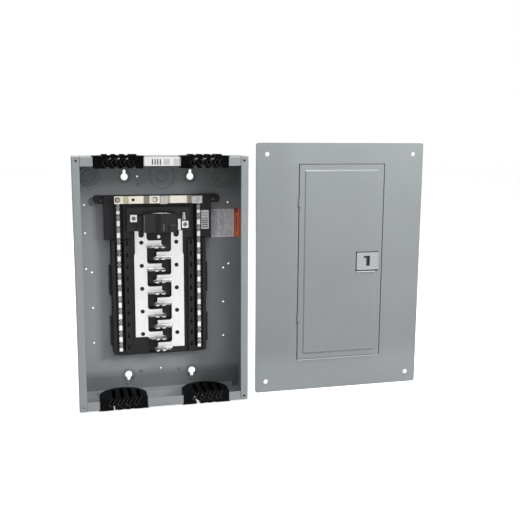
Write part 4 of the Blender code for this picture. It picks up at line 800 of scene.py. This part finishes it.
def make_wall_embosses():
    """Pressed rims round the four keyholes; in darker enamel, as painted shade, bands round them, small
    dimples and raised rings of the rear knockouts.
    """
    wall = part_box("wiring_label")[1].y + 0.0003
    bm = bmesh.new()
    shades = bmesh.new()
    for x in (-KEYHOLE_X, KEYHOLE_X):
        for up in (-1, 1):
            add_rim(bm, x, up, wall, KEYHOLE_RIM)
            add_rim(shades, x, up, wall, KEYHOLE_SHADE)
    for x, z in DIMPLES:
        add_disc(shades, (x, wall + 0.0002, z), DIMPLE, 20)
    for (x, z), radii in BACK_KNOCKOUTS:
        for radius in radii:
            band = [(radius + grow, rise) for grow, rise in KNOCKOUT_BAND]
            rings = add_lathe(shades, (x, wall, z), band, 64)
            join_rings(shades, rings[-1], rings[0])
    add_piece("wall_embosses", bm, "wall_enamel", "enclosure", True)
    add_piece("wall_shades", shades, "shaded_enamel", "enclosure", True)


def make_grip_webs():
    """Thin break-out webs that close the cable channels of the two lower grips from outside."""
    for name, (block, notch) in GRIP_WEBS.items():
        low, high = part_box(f"cable_grip_bottom_{name}")
        middle = (low.x + high.x) / 2
        front, back = (low.y + depth for depth in GRIP_WEB_DEPTHS)
        bm = bmesh.new()
        for left, right in ((block[0], notch[0]), (notch[1], block[1])):
            add_profile(bm, rectangle(middle + left, middle + right, front, back), low.z + 0.00005,
                        low.z + GRIP_WEB_HEIGHT)
        add_piece(f"grip_web_{name}", bm, "cable_grip", "enclosure")


def add_channel_highlights(bm, x, start, outer, end, front):
    """Two thin pale lines of painted highlight down the sides of one cable channel, whose middle at the end
    wall is at x.
    """
    line = [(x - start[0], outer - start[1]), (x - CHANNEL_KNEE[0], outer - CHANNEL_KNEE[1]),
            (x - CHANNEL_FOOT[0], outer - CHANNEL_FOOT[1])]
    for edge, inward in ((-GRIP_CHANNEL / 2, 1), (GRIP_CHANNEL / 2, -1)):
        near = [(across + edge + inward * 0.0001, end * up) for across, up in line]
        far = [(across + edge + inward * GRIP_HIGHLIGHT, end * up) for across, up in line]
        add_profile(bm, near + far[::-1], front, front + GRIP_HIGHLIGHT_DEPTH, "Y")


def make_grip_highlights():
    """Pale lines of painted highlight along both sides of each cable channel, flush with the grip's front."""
    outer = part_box("box_shell")[1].z
    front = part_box("box_shell")[0].y + 0.0001
    for end_name, end in (("top", 1), ("bottom", -1)):
        for side_name, side in (("left", -1), ("right", 1)):
            bm = bmesh.new()
            for count in range(GRIP_CHANNELS):
                x = side * GRIP_X + GRIP_CHANNEL_FIRST + GRIP_CHANNEL_PITCH * count
                start = CLOSED_CHANNEL_START if count == GRIP_CHANNELS - 1 else (0.0, CHANNEL_LEAN_START)
                add_channel_highlights(bm, x, start, outer, end, front)
            add_piece(f"grip_highlights_{end_name}_{side_name}", bm, "grip_highlight", "enclosure")


def make_crown_bead(face, steps=24, sides=8):
    """Round bead along the hood's crown that swells towards its middle, pale as a painted highlight."""
    bm = bmesh.new()
    turns = [math.tau * turn / sides for turn in range(sides)]
    rings = []
    for step in range(steps + 1):
        x = CROWN_BEAD_X[0] + (CROWN_BEAD_X[1] - CROWN_BEAD_X[0]) * step / steps
        z = CROWN_TOP - CROWN_RADIUS + math.sqrt(CROWN_RADIUS ** 2 - (x - HOOD_MIDDLE_X) ** 2)
        swell = CROWN_BEAD * (0.35 + 0.65 * math.sin(math.pi * step / steps))
        rings.append([bm.verts.new((x, face + 0.0006 + swell * math.cos(turn), z + swell * math.sin(turn)))
                      for turn in turns])
    for first, second in zip(rings, rings[1:]):
        join_rings(bm, first, second)
    bm.faces.new(rings[0])
    bm.faces.new(rings[-1])
    add_piece("hood_crown_bead", bm, "hood_bead", "enclosure", True)


def make_hood_details():
    """Crown bead and face lines pale as painted highlights, and dark patches of painted shade on the hood's
    face.
    """
    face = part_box("lug_barrier")[0].y
    make_crown_bead(face)
    for name, spans, rise, material in (("hood_painted_highlights", HOOD_PAINTED_HIGHLIGHTS, 0.0004, "hood_highlight_grey"),
                                        ("hood_painted_shades", HOOD_PAINTED_SHADES, 0.0001, "hood_shade")):
        bm = bmesh.new()
        for span in spans:
            add_profile(bm, rectangle(*span), face - rise, face + 0.0002, "Y")
        add_piece(name, bm, material, "enclosure")


def make_latch_details():
    """Strips of painted shade in the gap round the latch, and the door's pressed rim below it, lighter as a
    painted highlight.
    """
    low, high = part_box("latch_housing")
    width = LATCH_GAP_SHADE
    bars = ((low.x - width, low.x - 0.0001, low.z - width, high.z + width),
            (low.x - width, high.x - 0.001, high.z + 0.0001, high.z + 0.8 * width),
            (low.x - width, high.x - 0.001, low.z - width, low.z - 0.0001))
    bm = bmesh.new()
    for bar in bars:
        add_profile(bm, rectangle(*bar), low.y - 0.00015, low.y + 0.0022, "Y")
    add_piece("latch_gap_shade", bm, "painted_shade_black", "door")
    bm = bmesh.new()
    add_sill(bm, low.x - width, high.x - 0.009, low.y, low.z - width - 0.0001, LATCH_SILL)
    add_piece("latch_sill", bm, "highlight_enamel", "door")


def make_opening_details():
    """Painted shade on the trim's edge beside the door and at the hinges' ends, and its lower edge, lighter
    as a painted highlight.
    """
    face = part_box("directory_card")[0].y + 0.0002
    left, right, bottom, top = OPENING
    pins = [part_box(pin) for pin in HINGE_PINS]
    starts = [bottom] + [pin_high.z + 0.001 for _, pin_high in pins]
    ends = [pin_low.z - 0.001 for pin_low, _ in pins] + [top]
    bars = [rectangle(left - OPENING_SHADE, left, start, end) for start, end in zip(starts, ends)]
    bars.append(rectangle(right, right + 0.7 * OPENING_SHADE, bottom, top))
    bm = bmesh.new()
    for bar in bars:
        add_profile(bm, bar, face - 0.0001, face + 0.0004, "Y")
    for low, high in pins:
        outline = rectangle(low.x - HINGE_REACH, high.x + HINGE_REACH, low.z - 0.0008, low.z + 0.0001)
        add_profile(bm, outline, low.y - HINGE_REACH, high.y - 0.0002, "Y")
    add_piece("opening_shade", bm, "painted_shade_black", "cover")
    bm = bmesh.new()
    add_sill(bm, left + 0.001, right - 0.001, face, bottom - 0.0001, OPENING_SILL)
    add_piece("opening_sill", bm, "highlight_enamel", "cover")


def make_camera():
    yaw, pitch, roll = (math.radians(angle) for angle in (CAMERA_YAW, CAMERA_PITCH, CAMERA_ROLL))
    ahead = Vector((math.sin(yaw) * math.cos(pitch), math.cos(yaw) * math.cos(pitch), math.sin(pitch)))
    level = Vector((math.cos(yaw), -math.sin(yaw), 0))
    raised = level.cross(ahead)
    right = math.cos(roll) * level + math.sin(roll) * raised
    up = math.cos(roll) * raised - math.sin(roll) * level
    data = bpy.data.cameras.new("camera")
    data.sensor_width = SENSOR
    data.lens = FOCAL_SHARE * SENSOR
    camera = bpy.data.objects.new("camera", data)
    columns = Matrix((right, up, -ahead)).transposed().to_4x4()
    camera.matrix_world = Matrix.Translation(CAMERA_PLACE) @ columns
    bpy.context.scene.collection.objects.link(camera)
    bpy.context.scene.camera = camera


def add_softbox(name, place, target, size, power):
    data = bpy.data.lights.new(name, "AREA")
    data.shape = "RECTANGLE"
    data.size, data.size_y = size
    data.energy = power
    light = bpy.data.objects.new(name, data)
    light.location = place
    light.rotation_euler = (Vector(target) - Vector(place)).to_track_quat("-Z", "Y").to_euler()
    bpy.context.scene.collection.objects.link(light)


def make_world():
    """Studio surroundings: white to the eye, and softly lighter above than below for the light."""
    world = bpy.data.worlds.new("studio")
    bpy.context.scene.world = world
    world.use_nodes = True
    tree = world.node_tree
    output = tree.nodes["World Output"]
    seen = tree.nodes["Background"]
    seen.inputs["Color"].default_value = (1, 1, 1, 1)
    seen.inputs["Strength"].default_value = 1.0
    lit = tree.nodes.new("ShaderNodeBackground")
    place = tree.nodes.new("ShaderNodeTexCoord")
    axes = tree.nodes.new("ShaderNodeSeparateXYZ")
    ramp = tree.nodes.new("ShaderNodeMapRange")
    tree.links.new(place.outputs["Generated"], axes.inputs[0])
    tree.links.new(axes.outputs[2], ramp.inputs[0])
    for index, value in enumerate(WORLD_RAMP, 1):
        ramp.inputs[index].default_value = value
    tree.links.new(ramp.outputs[0], lit.inputs["Strength"])
    path = tree.nodes.new("ShaderNodeLightPath")
    mix = tree.nodes.new("ShaderNodeMixShader")
    tree.links.new(path.outputs["Is Camera Ray"], mix.inputs[0])
    tree.links.new(lit.outputs[0], mix.inputs[1])
    tree.links.new(seen.outputs[0], mix.inputs[2])
    tree.links.new(mix.outputs[0], output.inputs["Surface"])


def make_studio():
    bm = bmesh.new()
    bmesh.ops.create_grid(bm, x_segments=1, y_segments=1, size=12)
    mesh = bpy.data.meshes.new("studio_floor")
    bm.to_mesh(mesh)
    bm.free()
    mesh.materials.append(floor_material())
    floor = bpy.data.objects.new("studio_floor", mesh)
    floor.location = (0, 0, CAD_BOX[0].z - FLOOR_DROP)
    floor.visible_diffuse = False
    bpy.context.scene.collection.objects.link(floor)
    make_world()
    for softbox in SOFTBOXES:
        add_softbox(*softbox)


dress_nodes()
make_terminal_screws()
make_bar_channels()
make_strap_details()
make_wall_embosses()
make_grip_webs()
make_grip_highlights()
make_hood_details()
make_latch_details()
make_opening_details()
make_camera()
make_studio()
bpy.context.scene.view_settings.view_transform = "Standard"
